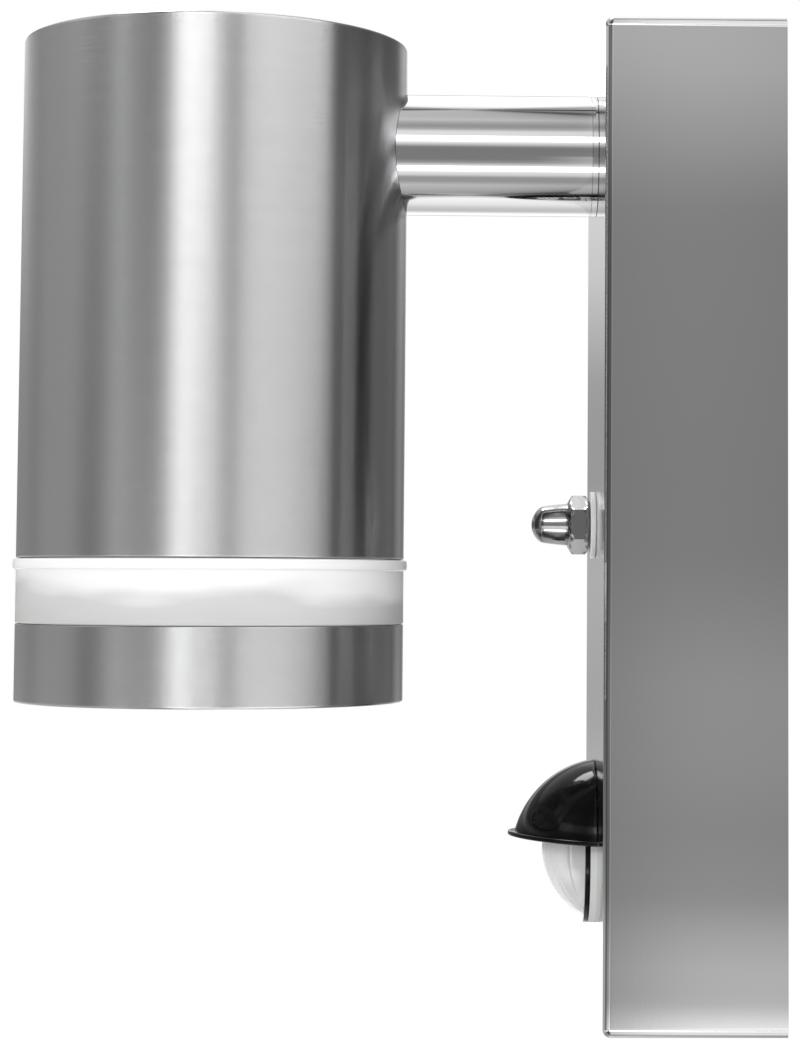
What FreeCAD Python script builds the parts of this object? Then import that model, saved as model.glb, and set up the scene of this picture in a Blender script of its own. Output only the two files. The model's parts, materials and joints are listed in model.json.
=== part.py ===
"""An outdoor wall light: a downlight tube on a short arm, with a motion sensor below it.

The light is drawn where it hangs. The wall is the plane Y = 0, the front looks along -Y and
+Z is up. The origin lies on the wall, at the middle of the bracket's two screw slots, which
is also half way up the case. All sizes are millimetres.
"""
import FreeCAD, Part
import math
import os
from types import SimpleNamespace

import Sketcher

SIZES = {
    # How pieces fit
    "seat_gap": 0.05,            # between round faces of pieces that don't move on each other
    "running_gap": 0.3,          # between faces that move past each other
    "shaft_gap": 0.05,           # round a shaft in its own bearing
    "overrun": 2,                # how far a cut runs past the face it leaves
    # Case: a box of sheet steel, open to the wall
    "case_width": 60,
    "case_depth": 27,
    "sheet": 0.8,
    "bend_inside": 0.4,
    "rim_gasket_width": 4,
    "rim_gasket_depth": 4,
    # Wall bracket: a strap whose middle stands off the wall
    "strap_width": 24,
    "strap_margin": 13,          # from the end of the case to the end of the strap
    "strap_thickness": 1.5,
    "strap_standoff": 5,
    "strap_foot": 30,
    "strap_ramp": 5,
    "slot_width": 5,
    "slot_length": 14,
    "slot_from_end": 16,
    # Screw that holds the case, its lock nut and the domed nut
    "stud_diameter": 5,
    "stud_head_diameter": 9,
    "stud_head_height": 3,
    "stud_into_nut": 6.5,
    "nut_flats": 8,
    "stud_nut_height": 4,
    "washer_diameter": 10.4,
    "washer_thickness": 0.85,
    "cap_nut_height": 9.15,
    "cap_hex_height": 3.5,
    "cap_neck_radius": 3.5,
    "cap_dome_radius": 3.1,
    "cap_dome_rise": 1.7,
    # Grommet for the supply cable
    "cable_hole": 11,
    "cable_bore": 7,
    "cable_rise": 15.5,           # from the middle of the strap up to the cable's way in
    "grommet_lip": 1.5,
    "grommet_lip_thickness": 1.2,
    # Terminal block on the bracket
    "block_height": 16,
    "block_depth": 13,
    "block_foot": 5,
    "block_clearance": 6,        # from the line of the case's screw to the block
    "block_tower": 8,
    "pole_gap": 1.6,
    "pole_width": 8.4,
    "pole_bore": 5.2,
    "clamp_wall": 0.7,
    "clamp_screw": 3,
    "block_screw": 3,
    # Arm and the hollow fixing inside it
    "arm_height": 58.3,
    "arm_margin": 16.7,          # from the line of the arm up to the top of the case
    "arm_diameter": 19,
    "arm_wall": 1.2,
    "arm_seal_thickness": 0.3,
    "arm_seal_inset": 0.3,
    "nipple_diameter": 10,
    "nipple_bore": 7.4,
    "nipple_end": 2,
    "lockwasher_diameter": 18,
    "lockwasher_thickness": 0.9,
    "tag_diameter": 16,
    "tag_thickness": 0.8,
    "tag_width": 5,
    "tag_reach": 13,
    "arm_nut_flats": 14,
    "arm_nut_height": 3,
    "saddle_diameter": 18,
    "saddle_thickness": 2.2,
    # Lamp tube
    "lamp_reach": 87,
    "lamp_room": 4,              # between the lamp's rim and the inside of the tube
    "tube_rise": 16.7,           # from the line of the arm up to the top of the tube
    "tube_length": 80.6,
    "tube_wall": 1,
    "tube_edge": 0.5,
    "insert_wall": 1.7,
    "insert_height": 9,
    "seal_room": 3.2,
    # Cap that unscrews: clear ring, steel ring and glass
    "cap_gap": 0.1,
    "spigot_wall": 1.2,
    "spigot_height": 9.5,
    "flange_thickness": 1.6,
    "flange_overhang": 0.5,
    "band_height": 8.3,
    "skirt_wall": 1.6,
    "seal_section": 1.6,
    "end_ring_height": 12,
    "end_lip": 4.4,
    "glass_thickness": 3,
    "glass_gasket_thickness": 1,
    "glass_gasket_width": 3.2,
    # Lampholder and what carries it
    "leg_drop": 11.5,
    "leg_width": 22,
    "leg_thickness": 1.2,
    "leg_reach": 15,
    "leg_wire_hole": 14,
    "holder_diameter": 27,
    "holder_height": 14,
    "holder_floor": 3,
    "holder_cavity": 16.6,
    "holder_screw_spacing": 22,
    "holder_screw": 3,
    "contact_plate_thickness": 1.5,
    "contact_width": 4,
    "contact_length": 6,
    "contact_thickness": 0.8,
    "contact_post": 2.2,
    # Lamp
    "lamp_diameter": 50,
    "lamp_length": 46.5,
    "lamp_rim": 4,
    "lamp_neck_diameter": 34,
    "lamp_shell_height": 34,
    "lamp_base_diameter": 21,
    "lamp_lens_thickness": 2,
    "pin_spacing": 10,
    "pin_neck": 3.2,
    "pin_head": 5,
    "pin_head_height": 3,
    "pin_length": 7,
    "pin_play": 0.6,
    "twist_angle": 25,
    # Motion sensor
    "lens_radius": 12,
    "lens_sink": 3.9,
    "lens_wall": 0.8,
    "lens_skirt": 2.3,
    "bezel_radius": 11.7,
    "bezel_thickness": 0.8,
    "bezel_seal": 1,
    "neck_radius": 10.5,
    "neck_bore": 9,
    "neck_length": 6.4,
    "hood_radius": 15.2,
    "hood_sink": 2.3,
    "hood_drop": 1.5,
    "hood_wall": 1.2,
    "hood_shoulder": 0.9,
    "hood_gap": 0.2,
    "hood_lip": 0.9,
    "hood_lip_thickness": 0.8,
    "hood_tilt": 2.5,
    "hood_rim_rise": 1.15,
    "ring_nut_radius": 13.6,
    "ring_nut_height": 2.5,
    "ring_nut_notch": 2.4,
    "housing_clearance": 6,      # between the terminal block and the housing
    "housing_margin": 3,         # from the housing down to the end of the case
    "housing_width": 44,
    "housing_height": 44,
    "housing_depth": 16.2,
    "housing_wall": 1.5,
    "board_width": 38,
    "board_thickness": 1.6,
    "board_gap": 0.4,
    "board_boss": 5,
    "board_inset": 3.5,
    "board_margin": 2,           # from the trimmers down to the edge of the board
    "component_gap": 1,
    "trimmer_gap": 1.5,
    "board_screw": 2,
    "corner_boss": 4.8,
    "cover_thickness": 1.5,
    "cover_screw": 2.2,
    "pyro_radius": 4.1,
    "pyro_height": 4,
    "relay_width": 15,
    "relay_height": 12,
    "relay_depth": 9,
    "capacitor_diameter": 8,
    "trimmer_width": 8,
    "trimmer_depth": 6,
    "trimmer_spacing": 18,
    "trimmer_shaft": 3,
    "knob_diameter": 6,
    "knob_height": 4.5,
    "knob_slot": 0.9,
    # Wires
    "wire_diameter": 1.8,
    "wire_exit_hole": 2.6,
}

LEFT = 1
RIGHT = -1


class Size:
    """A number together with the expression that gives it from the sheet's cells."""

    def __init__(self, value, words):
        self.value = value
        self.words = words

    def joined(self, other, sign, value):
        words = other.words if isinstance(other, Size) else str(other)
        return Size(value, f"({self.words} {sign} {words})")

    def __add__(self, other):
        return self.joined(other, "+", self.value + number(other))

    def __sub__(self, other):
        return self.joined(other, "-", self.value - number(other))

    def __mul__(self, other):
        return self.joined(other, "*", self.value * number(other))

    def __truediv__(self, other):
        return self.joined(other, "/", self.value / number(other))

    def __rmul__(self, other):
        return self * other

    def __neg__(self):
        return Size(-self.value, f"(0 - {self.words})")


def number(item):
    """The plain number in a size, or the number itself."""
    return item.value if isinstance(item, Size) else item


def words(item):
    """The expression of a size, or a plain number written out."""
    return item.words if isinstance(item, Size) else str(item)


def root(size):
    return Size(math.sqrt(size.value), f"sqrt({size.words})")


def cosine(angle):
    return Size(math.cos(math.radians(number(angle))), f"cos({words(angle)})")


def sine(angle):
    return Size(math.sin(math.radians(number(angle))), f"sin({words(angle)})")


def leg(long_side, short_side):
    """The other short side of a right-angled triangle."""
    return root(long_side * long_side - short_side * short_side)


def make_sheet(doc):
    """Write the driving dimensions into a sheet and return them as named sizes."""
    sheet = doc.addObject("Spreadsheet::Sheet", "Sizes")
    for row, (name, value) in enumerate(SIZES.items(), 1):
        sheet.set(f"A{row}", name)
        sheet.set(f"B{row}", str(value))
        sheet.setAlias(f"B{row}", name)
    doc.recompute()
    return SimpleNamespace(**{name: Size(value, f"Sizes.{name}") for name, value in SIZES.items()})


document = FreeCAD.newDocument("WallLight")
S = make_sheet(document)
ZERO = Size(0, "0")


def bind(thing, setting, size):
    """Tie one setting of an object to the sheet."""
    thing.setExpression(setting, words(size))


def new_body(label, x=ZERO, y=ZERO, z=ZERO):
    """An empty body with its own origin at (x, y, z)."""
    body = document.addObject("PartDesign::Body", label)
    body.Label = label
    body.AllowCompound = True
    for name, size in (("x", x), ("y", y), ("z", z)):
        bind(body, f"Placement.Base.{name}", size)
    return body


def new_sketch(body, plane, lift=ZERO):
    """A sketch on one of the body's planes: front (X, Z), side (Y, Z) or top (X, Y).

    Lift moves it along the plane's normal: forwards (-Y), to +X or upwards.
    """
    role = {"front": "XZ_Plane", "side": "YZ_Plane", "top": "XY_Plane"}[plane]
    sketch = body.newObject("Sketcher::SketchObject", f"{body.Label}_sketch")
    base = next(item for item in body.Origin.OriginFeatures if item.Role == role)
    sketch.AttachmentSupport = [(base, "")]
    sketch.MapMode = "FlatFace"
    bind(sketch, "AttachmentOffset.Base.z", lift)
    return sketch


def constrain(sketch, kind, geometry, point, size):
    """Place a point from the sketch's origin, or size a circle, by an expression."""
    place = (geometry,) if point is None else (geometry, point)
    index = sketch.addConstraint(Sketcher.Constraint(kind, *place, number(size)))
    sketch.setExpression(f"Constraints[{index}]", words(size))


def draw_circle(sketch, across, up, radius):
    centre = FreeCAD.Vector(number(across), number(up), 0)
    index = sketch.addGeometry(Part.Circle(centre, FreeCAD.Vector(0, 0, 1), number(radius)), False)
    constrain(sketch, "DistanceX", index, 3, across)
    constrain(sketch, "DistanceY", index, 3, up)
    constrain(sketch, "Radius", index, None, radius)


def arc_through(start, end, radius, side):
    """The arc of under a half circle from start to end, its centre to the left or right."""
    across, up = end[0] - start[0], end[1] - start[1]
    chord = math.hypot(across, up)
    reach = math.sqrt(max(radius * radius - chord * chord / 4, 0)) * side
    centre = (
        (start[0] + end[0]) / 2 - up / chord * reach,
        (start[1] + end[1]) / 2 + across / chord * reach,
    )
    first = math.atan2(start[1] - centre[1], start[0] - centre[0])
    last = math.atan2(end[1] - centre[1], end[0] - centre[0])
    circle = Part.Circle(FreeCAD.Vector(*centre, 0), FreeCAD.Vector(0, 0, 1), radius)
    return Part.ArcOfCircle(circle, *((first, last) if side == LEFT else (last, first)))


def draw_outline(sketch, points):
    """Draw a closed outline through points, each (across, up) in sizes.

    A point may add (radius, side): then the stretch that arrives at it is an arc.
    """
    edges = []
    for place, point in enumerate(points):
        start = [number(size) for size in points[place - 1][:2]]
        end = [number(size) for size in point[:2]]
        if len(point) == 2:
            shape = Part.LineSegment(FreeCAD.Vector(*start, 0), FreeCAD.Vector(*end, 0))
            ends = (1, 2)
        else:
            shape = arc_through(start, end, number(point[2]), point[3])
            ends = (1, 2) if point[3] == LEFT else (2, 1)
        edges.append((sketch.addGeometry(shape, False), *ends))
    for place, (edge, _, finish) in enumerate(edges):
        following, begin, _ = edges[(place + 1) % len(edges)]
        sketch.addConstraint(Sketcher.Constraint("Coincident", edge, finish, following, begin))
    for point, (edge, _, finish) in zip(points, edges):
        constrain(sketch, "DistanceX", edge, finish, point[0])
        constrain(sketch, "DistanceY", edge, finish, point[1])
        if len(point) > 2:
            constrain(sketch, "Radius", edge, None, point[2])


def draw_box(sketch, left, right, low, high):
    draw_outline(sketch, [(left, low), (right, low), (right, high), (left, high)])


def draw_centred(sketch, width, height, across=ZERO, up=ZERO):
    draw_box(sketch, across - width / 2, across + width / 2, up - height / 2, up + height / 2)


def draw_rounded(sketch, width, height, corner):
    """A rectangle about the origin with round corners."""
    right, top = width / 2, height / 2
    draw_outline(sketch, [
        (right - corner, -top),
        (right, corner - top, corner, LEFT),
        (right, top - corner),
        (right - corner, top, corner, LEFT),
        (corner - right, top),
        (-right, top - corner, corner, LEFT),
        (-right, corner - top),
        (corner - right, -top, corner, LEFT),
    ])


def draw_hexagon(sketch, flats):
    """A hexagon about the origin with a corner up and a corner down."""
    corner = flats / root(Size(3, "3"))
    turns = [90 + 60 * step for step in range(6)]
    draw_outline(sketch, [(corner * cosine(turn), corner * sine(turn)) for turn in turns])


def feature(body, kind, sketch):
    """Add a sketch-based feature to the body."""
    item = body.newObject(f"PartDesign::{kind}", f"{body.Label}_{kind}")
    item.Profile = sketch
    return item


def grow(body, sketch, length, both=False, back=False):
    """Pad a sketch along its normal, to both sides of it, or backwards."""
    pad = feature(body, "Pad", sketch)
    bind(pad, "Length", length)
    pad.SideType = "Symmetric" if both else "One side"
    pad.Reversed = back
    return pad


def cut(body, sketch, length=None, ahead=False):
    """Pocket a sketch: right through to both sides, or to a depth behind or ahead of it."""
    pocket = feature(body, "Pocket", sketch)
    if length is None:
        pocket.Type = "ThroughAll"
        pocket.SideType = "Symmetric"
    else:
        bind(pocket, "Length", length)
        pocket.Reversed = ahead
    return pocket


def turn(body, sketch, axis, angle=360, take=False):
    """Revolve a sketch about its own upright (V) or level (H) axis, to add or to take."""
    item = feature(body, "Groove" if take else "Revolution", sketch)
    item.ReferenceAxis = (sketch, [f"{axis}_Axis"])
    bind(item, "Angle", angle)
    return item


def repeat(body, originals, sketch, direction, spacing, count):
    """Copy features along an axis of a sketch, a spacing apart."""
    pattern = body.newObject("PartDesign::LinearPattern", f"{body.Label}_row")
    pattern.Originals = originals
    pattern.Direction = (sketch, [f"{direction}_Axis"])
    bind(pattern, "Length", spacing * (count - 1))
    pattern.Occurrences = count
    body.Tip = pattern
    return pattern


def repeat_round(body, originals, sketch, count):
    """Copy features round the normal of a sketch."""
    pattern = body.newObject("PartDesign::PolarPattern", f"{body.Label}_ring")
    pattern.Originals = originals
    pattern.Axis = (sketch, ["N_Axis"])
    pattern.Angle = 360
    pattern.Occurrences = count
    body.Tip = pattern
    return pattern


def round_edges(body, radius, wanted):
    """Fillet the edges of the body's last feature for which wanted(edge) is true."""
    document.recompute()
    last = body.Tip
    names = [f"Edge{place}" for place, edge in enumerate(last.Shape.Edges, 1) if wanted(edge)]
    if not names:
        raise RuntimeError(f"{body.Label}: no edge to round")
    fillet = body.newObject("PartDesign::Fillet", f"{body.Label}_fillet")
    fillet.Base = (last, names)
    bind(fillet, "Radius", radius)
    return fillet


def along(edge, axis):
    """Is this a straight edge that runs along the axis?"""
    if not isinstance(edge.Curve, Part.Line):
        return False
    return abs(abs(getattr(edge.Curve.Direction, axis)) - 1) < 1e-6


def at(edge, axis, place):
    """Does the whole edge lie at this place on the axis?"""
    box = edge.BoundBox
    low, high = getattr(box, f"{axis}Min"), getattr(box, f"{axis}Max")
    return abs(low - number(place)) < 1e-4 and abs(high - number(place)) < 1e-4


def turned_forward(label, points, x=ZERO, z=ZERO):
    """A piece turned about a line towards the front, from points (depth, radius)."""
    body = new_body(label, x=x, z=z)
    sketch = new_sketch(body, "side")
    draw_outline(sketch, ahead_of_wall(points))
    turn(body, sketch, "H")
    return body


def ahead_of_wall(points):
    """Points given as depth from the wall, for a side sketch whose first axis is Y."""
    return [(-point[0], point[1], *point[2:3], *(-side for side in point[3:])) for point in points]


def turned_upright(label, points):
    """A piece turned about the lamp's axis, from points (radius, height)."""
    body = new_body(label, y=-S.lamp_reach)
    sketch = new_sketch(body, "front")
    draw_outline(sketch, points)
    turn(body, sketch, "V")
    return body


def ring_forward(label, inner, outer, start, finish, z=ZERO):
    return turned_forward(
        label, [(start, inner), (start, outer), (finish, outer), (finish, inner)], z=z
    )


def ring_upright(label, inner, outer, low, high):
    return turned_upright(label, [(inner, low), (outer, low), (outer, high), (inner, high)])


HEX_SLOPE_SHARE = 0.25


def chamfer_hexagon(body, flats, start, finish):
    """Cut the corners of a hexagon that runs from start to finish to a cone at each end."""
    slope = flats * HEX_SLOPE_SHARE
    for face, inward in ((start, slope), (finish, -slope)):
        sketch = new_sketch(body, "side")
        draw_outline(sketch, ahead_of_wall([(face, flats / 2), (face, flats), (face + inward, flats)]))
        turn(body, sketch, "H", take=True)


def hexagon_nut(label, flats, bore, start, height, z=ZERO):
    """A hexagon nut on a line towards the front, its rear face at the depth start."""
    body = new_body(label, z=z)
    sketch = new_sketch(body, "front", start)
    draw_hexagon(sketch, flats)
    grow(body, sketch, height)
    hole = new_sketch(body, "front", start)
    draw_circle(hole, ZERO, ZERO, bore)
    cut(body, hole)
    chamfer_hexagon(body, flats, start, start + height)
    return body


def draw_slot(sketch, width, length, up):
    """An upright slot with round ends, centred at a height."""
    end, straight = width / 2, length / 2 - width / 2
    draw_outline(sketch, [
        (end, up - straight, end, LEFT),
        (end, up + straight),
        (ZERO, up + straight + end, end, LEFT),
        (-end, up + straight, end, LEFT),
        (-end, up - straight),
        (ZERO, up - straight - end, end, LEFT),
    ])


# Places that several pieces share, as depths from the wall
CASE_FRONT = S.case_depth
CASE_INSIDE = S.case_depth - S.sheet
STRAP_FRONT = S.strap_standoff + S.strap_thickness
STUD_RADIUS = S.stud_diameter / 2
CASE_HOLE_GAP = S.seat_gap * 4

# Heights that several pieces share, from the line of the screw that holds the case
BLOCK = -S.block_clearance - S.block_height / 2
SENSOR = BLOCK - S.block_height / 2 - S.housing_clearance - S.housing_height / 2
CASE_BOTTOM = SENSOR - S.housing_height / 2 - S.housing_margin
CASE_TOP = S.arm_height + S.arm_margin
CASE_MIDDLE = (CASE_TOP + CASE_BOTTOM) / 2
CASE_HEIGHT = CASE_TOP - CASE_BOTTOM


def make_wall_bracket():
    """A strap bent so that its feet lie on the wall and its middle stands off it."""
    body = new_body("wall_bracket", z=CASE_MIDDLE)
    profile = new_sketch(body, "side")
    rise, thick = S.strap_standoff, S.strap_thickness
    end = CASE_HEIGHT / 2 - S.strap_margin
    foot, middle = end - S.strap_foot, end - S.strap_foot - S.strap_ramp
    ramp = root(rise * rise + S.strap_ramp * S.strap_ramp)
    shift = thick * (ramp - S.strap_ramp) / rise
    rear = [(ZERO, -end), (ZERO, -foot), (rise, -middle), (rise, middle), (ZERO, foot), (ZERO, end)]
    front = [
        (thick, end),
        (thick, foot + shift),
        (rise + thick, middle + shift),
        (rise + thick, -middle - shift),
        (thick, -foot - shift),
        (thick, -end),
    ]
    draw_outline(profile, ahead_of_wall(rear + front))
    grow(body, profile, S.strap_width, both=True)
    round_edges(body, S.strap_thickness / 3, lambda edge: along(edge, "x") and not (
        at(edge, "Z", end) or at(edge, "Z", -end)))
    round_edges(body, S.strap_width / 8, lambda edge: along(edge, "y"))
    holes = new_sketch(body, "front")
    for place in (end - S.slot_from_end, S.slot_from_end - end):
        draw_slot(holes, S.slot_width, S.slot_length, place)
    draw_circle(holes, ZERO, -CASE_MIDDLE, STUD_RADIUS + S.seat_gap)
    draw_circle(holes, ZERO, S.cable_rise, S.cable_hole / 2)
    draw_circle(holes, ZERO, BLOCK - CASE_MIDDLE, S.block_screw / 2 + S.seat_gap)
    cut(body, holes)


def make_stud():
    """The screw behind the strap that the domed nut draws the case on to."""
    tip = CASE_FRONT + S.washer_thickness + S.stud_into_nut
    chamfer = S.stud_diameter / 8
    turned_forward("bracket_stud", [
        (S.strap_standoff - S.stud_head_height, ZERO),
        (S.strap_standoff - S.stud_head_height, S.stud_head_diameter / 2),
        (S.strap_standoff, S.stud_head_diameter / 2),
        (S.strap_standoff, STUD_RADIUS),
        (tip - chamfer, STUD_RADIUS),
        (tip, STUD_RADIUS - chamfer),
        (tip, ZERO),
    ])
    bore = STUD_RADIUS + S.seat_gap
    hexagon_nut("stud_nut", S.nut_flats, bore, STRAP_FRONT, S.stud_nut_height)


def make_cable_grommet():
    """A rubber ring in the strap's large hole, with a lip on each side of the strap."""
    lip = S.cable_hole / 2 + S.grommet_lip
    groove = S.cable_hole / 2 - S.seat_gap
    back, front = S.strap_standoff, STRAP_FRONT
    turned_forward("cable_grommet", [
        (back - S.grommet_lip_thickness, S.cable_bore / 2),
        (back - S.grommet_lip_thickness, lip),
        (back, lip),
        (back, groove),
        (front, groove),
        (front, lip),
        (front + S.grommet_lip_thickness, lip),
        (front + S.grommet_lip_thickness, S.cable_bore / 2),
    ], z=CASE_MIDDLE + S.cable_rise)


POLES = 4
POLE_SPACING = S.pole_width + S.pole_gap
FIRST_POLE = POLE_SPACING * (1 - POLES) / 2
BLOCK_TOP = STRAP_FRONT + S.block_depth
POLE_DEPTH = STRAP_FRONT + S.block_foot


def draw_screw_places(sketch, radius):
    """Two screw places on one pole, above and below its middle."""
    for up in (S.block_tower / 4, -S.block_tower / 4):
        draw_circle(sketch, FIRST_POLE, up, radius)


def make_terminal_block():
    """A moulded strip of four poles: a foot, towers with screws and a bore along each."""
    body = new_body("terminal_block", z=BLOCK)
    profile = new_sketch(body, "side")
    half, tower = S.block_height / 2, S.block_tower / 2
    draw_outline(profile, ahead_of_wall([
        (STRAP_FRONT, -half),
        (POLE_DEPTH, -half),
        (BLOCK_TOP, -tower),
        (BLOCK_TOP, tower),
        (POLE_DEPTH, half),
        (STRAP_FRONT, half),
    ]))
    grow(body, profile, POLE_SPACING * (POLES - 1) + S.pole_width, both=True)
    between = new_sketch(body, "top")
    gap = S.pole_gap / 2
    first_gap = FIRST_POLE + POLE_SPACING / 2
    draw_box(between, first_gap - gap, first_gap + gap, -BLOCK_TOP - S.overrun, -POLE_DEPTH)
    notch = cut(body, between)
    repeat(body, [notch], between, "H", POLE_SPACING, POLES - 1)
    bore = new_sketch(body, "top")
    draw_circle(bore, FIRST_POLE, -POLE_DEPTH, S.pole_bore / 2)
    way = cut(body, bore)
    repeat(body, [way], bore, "H", POLE_SPACING, POLES)
    wells = new_sketch(body, "front", BLOCK_TOP)
    draw_screw_places(wells, S.clamp_screw / 2 + S.seat_gap)
    well = cut(body, wells, BLOCK_TOP - POLE_DEPTH)
    repeat(body, [well], wells, "H", POLE_SPACING, POLES)
    fixing = new_sketch(body, "front", STRAP_FRONT)
    draw_circle(fixing, ZERO, ZERO, S.block_screw / 2 + S.seat_gap)
    cut(body, fixing, S.block_foot - S.overrun / 2, ahead=True)


def make_terminal_metal():
    """Brass tubes in the block's bores, their screws, and the screw that holds the block."""
    clamps = new_body("terminal_clamps", z=BLOCK)
    outer = S.pole_bore / 2 - S.seat_gap
    section = new_sketch(clamps, "top")
    draw_circle(section, FIRST_POLE, -POLE_DEPTH, outer)
    draw_circle(section, FIRST_POLE, -POLE_DEPTH, outer - S.clamp_wall)
    tube = grow(clamps, section, S.block_height * 3 / 4, both=True)
    tapped = new_sketch(clamps, "front", BLOCK_TOP)
    draw_screw_places(tapped, S.clamp_screw / 2 + S.seat_gap)
    holes = cut(clamps, tapped, BLOCK_TOP - POLE_DEPTH)
    repeat(clamps, [tube, holes], section, "H", POLE_SPACING, POLES)

    screws = new_body("terminal_screws", z=BLOCK)
    lowest = POLE_DEPTH + S.wire_diameter / 2 + S.seat_gap
    shanks = new_sketch(screws, "front", lowest)
    draw_screw_places(shanks, S.clamp_screw / 2)
    shank = grow(screws, shanks, BLOCK_TOP - S.clamp_wall - lowest)
    repeat(screws, [shank], shanks, "H", POLE_SPACING, POLES)

    head, shank = S.block_screw, S.block_screw / 2
    turned_forward("block_screw", [
        (S.strap_standoff - shank, ZERO),
        (S.strap_standoff - shank, head),
        (S.strap_standoff, head),
        (S.strap_standoff, shank),
        (POLE_DEPTH - S.overrun, shank),
        (POLE_DEPTH - S.overrun, ZERO),
    ], z=BLOCK)


def make_case():
    """A box of sheet steel with rounded bends, open at the back, with three holes in front."""
    body = new_body("case", z=CASE_MIDDLE)
    bend = S.bend_inside + S.sheet
    corner = S.bend_inside * 2
    plan = new_sketch(body, "front")
    draw_rounded(plan, S.case_width, CASE_HEIGHT, corner + S.sheet)
    grow(body, plan, S.case_depth)
    round_edges(body, bend, lambda edge: at(edge, "Y", -CASE_FRONT))
    hollow = new_sketch(body, "front")
    draw_rounded(hollow, S.case_width - S.sheet * 2, CASE_HEIGHT - S.sheet * 2, corner)
    cut(body, hollow, CASE_INSIDE, ahead=True)
    round_edges(body, S.bend_inside, lambda edge: at(edge, "Y", -CASE_INSIDE))
    holes = new_sketch(body, "front")
    draw_circle(holes, ZERO, -CASE_MIDDLE, STUD_RADIUS + CASE_HOLE_GAP)
    draw_circle(holes, ZERO, S.arm_height - CASE_MIDDLE, S.nipple_diameter / 2 + CASE_HOLE_GAP)
    draw_circle(holes, ZERO, SENSOR - CASE_MIDDLE, S.neck_radius + CASE_HOLE_GAP)
    cut(body, holes)


def make_rear_gasket():
    """A foam frame stuck inside the case's rim, where the case meets the wall."""
    body = new_body("rear_gasket", z=CASE_MIDDLE)
    gap = (S.sheet + S.seat_gap) * 2
    corner = S.bend_inside * 2
    frame = new_sketch(body, "front")
    draw_rounded(frame, S.case_width - gap, CASE_HEIGHT - gap, corner)
    grow(body, frame, S.rim_gasket_depth)
    gap = gap + S.rim_gasket_width * 2
    window = new_sketch(body, "front")
    draw_rounded(window, S.case_width - gap, CASE_HEIGHT - gap, corner)
    cut(body, window)


def make_cap_nut():
    """A white washer and the domed nut that holds the case on."""
    seat = CASE_FRONT + S.washer_thickness
    bore = STUD_RADIUS + S.seat_gap
    ring_forward("sealing_washer", bore, S.washer_diameter / 2, CASE_FRONT, seat)

    body = new_body("cap_nut")
    hexagon = new_sketch(body, "front", seat)
    draw_hexagon(hexagon, S.nut_flats)
    grow(body, hexagon, S.cap_hex_height)
    chamfer_hexagon(body, S.nut_flats, seat, seat + S.cap_hex_height)
    dome = new_sketch(body, "side")
    top = seat + S.cap_nut_height
    bow = (S.cap_dome_radius * S.cap_dome_radius / S.cap_dome_rise + S.cap_dome_rise) / 2
    draw_outline(dome, ahead_of_wall([
        (seat, ZERO),
        (seat, S.cap_neck_radius),
        (seat + S.cap_hex_height, S.cap_neck_radius),
        (top - S.cap_dome_rise, S.cap_dome_radius),
        (top, ZERO, bow, RIGHT),
    ]))
    turn(body, dome, "H")
    hole = new_sketch(body, "front", seat)
    draw_circle(hole, ZERO, ZERO, bore)
    cut(body, hole, S.stud_into_nut + S.running_gap, ahead=True)


ARM_START = CASE_FRONT + S.arm_seal_thickness
ARM_RADIUS = S.arm_diameter / 2
NIPPLE_RADIUS = S.nipple_diameter / 2
NIPPLE_HOLE = NIPPLE_RADIUS + CASE_HOLE_GAP
TUBE_INSIDE = S.lamp_diameter / 2 + S.lamp_room
TUBE_RADIUS = TUBE_INSIDE + S.tube_wall
TUBE_TOP = S.arm_height + S.tube_rise
TUBE_BOTTOM = TUBE_TOP - S.tube_length
WASHER_BACK = CASE_INSIDE - S.lockwasher_thickness
TAG_BACK = WASHER_BACK - S.tag_thickness
ARM_NUT_BACK = TAG_BACK - S.arm_nut_height
SADDLE_FRONT = S.lamp_reach - TUBE_INSIDE + S.saddle_thickness
LEG_FRONT = SADDLE_FRONT + S.leg_thickness


def make_arm():
    """The arm, cut to a saddle where it meets the lamp tube, and the seal at its foot."""
    ring_forward(
        "arm_seal", NIPPLE_HOLE, ARM_RADIUS - S.arm_seal_inset, CASE_FRONT, ARM_START, S.arm_height
    )
    body = new_body("arm_tube", z=S.arm_height)
    section = new_sketch(body, "front", ARM_START)
    draw_circle(section, ZERO, ZERO, ARM_RADIUS)
    draw_circle(section, ZERO, ZERO, ARM_RADIUS - S.arm_wall)
    grow(body, section, S.lamp_reach - ARM_START)
    saddle = new_sketch(body, "top")
    draw_circle(saddle, ZERO, -S.lamp_reach, TUBE_RADIUS + S.seat_gap)
    cut(body, saddle)


def make_nipple():
    """The hollow threaded rod through the arm, with a nut, washers and earth tag on it."""
    start = ARM_NUT_BACK - S.nipple_end
    finish = LEG_FRONT + S.arm_nut_height + S.nipple_end
    chamfer, bore = S.nipple_end / 4, S.nipple_bore / 2
    turned_forward("arm_nipple", [
        (start, bore),
        (start, NIPPLE_RADIUS - chamfer),
        (start + chamfer, NIPPLE_RADIUS),
        (finish - chamfer, NIPPLE_RADIUS),
        (finish, NIPPLE_RADIUS - chamfer),
        (finish, bore),
    ], z=S.arm_height)
    hole = NIPPLE_RADIUS + S.seat_gap
    ring_forward(
        "arm_lockwasher", hole, S.lockwasher_diameter / 2, WASHER_BACK, CASE_INSIDE, S.arm_height
    )
    hexagon_nut("arm_nut", S.arm_nut_flats, hole, ARM_NUT_BACK, S.arm_nut_height, S.arm_height)
    hexagon_nut("arm_tube_nut", S.arm_nut_flats, hole, LEG_FRONT, S.arm_nut_height, S.arm_height)


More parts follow.
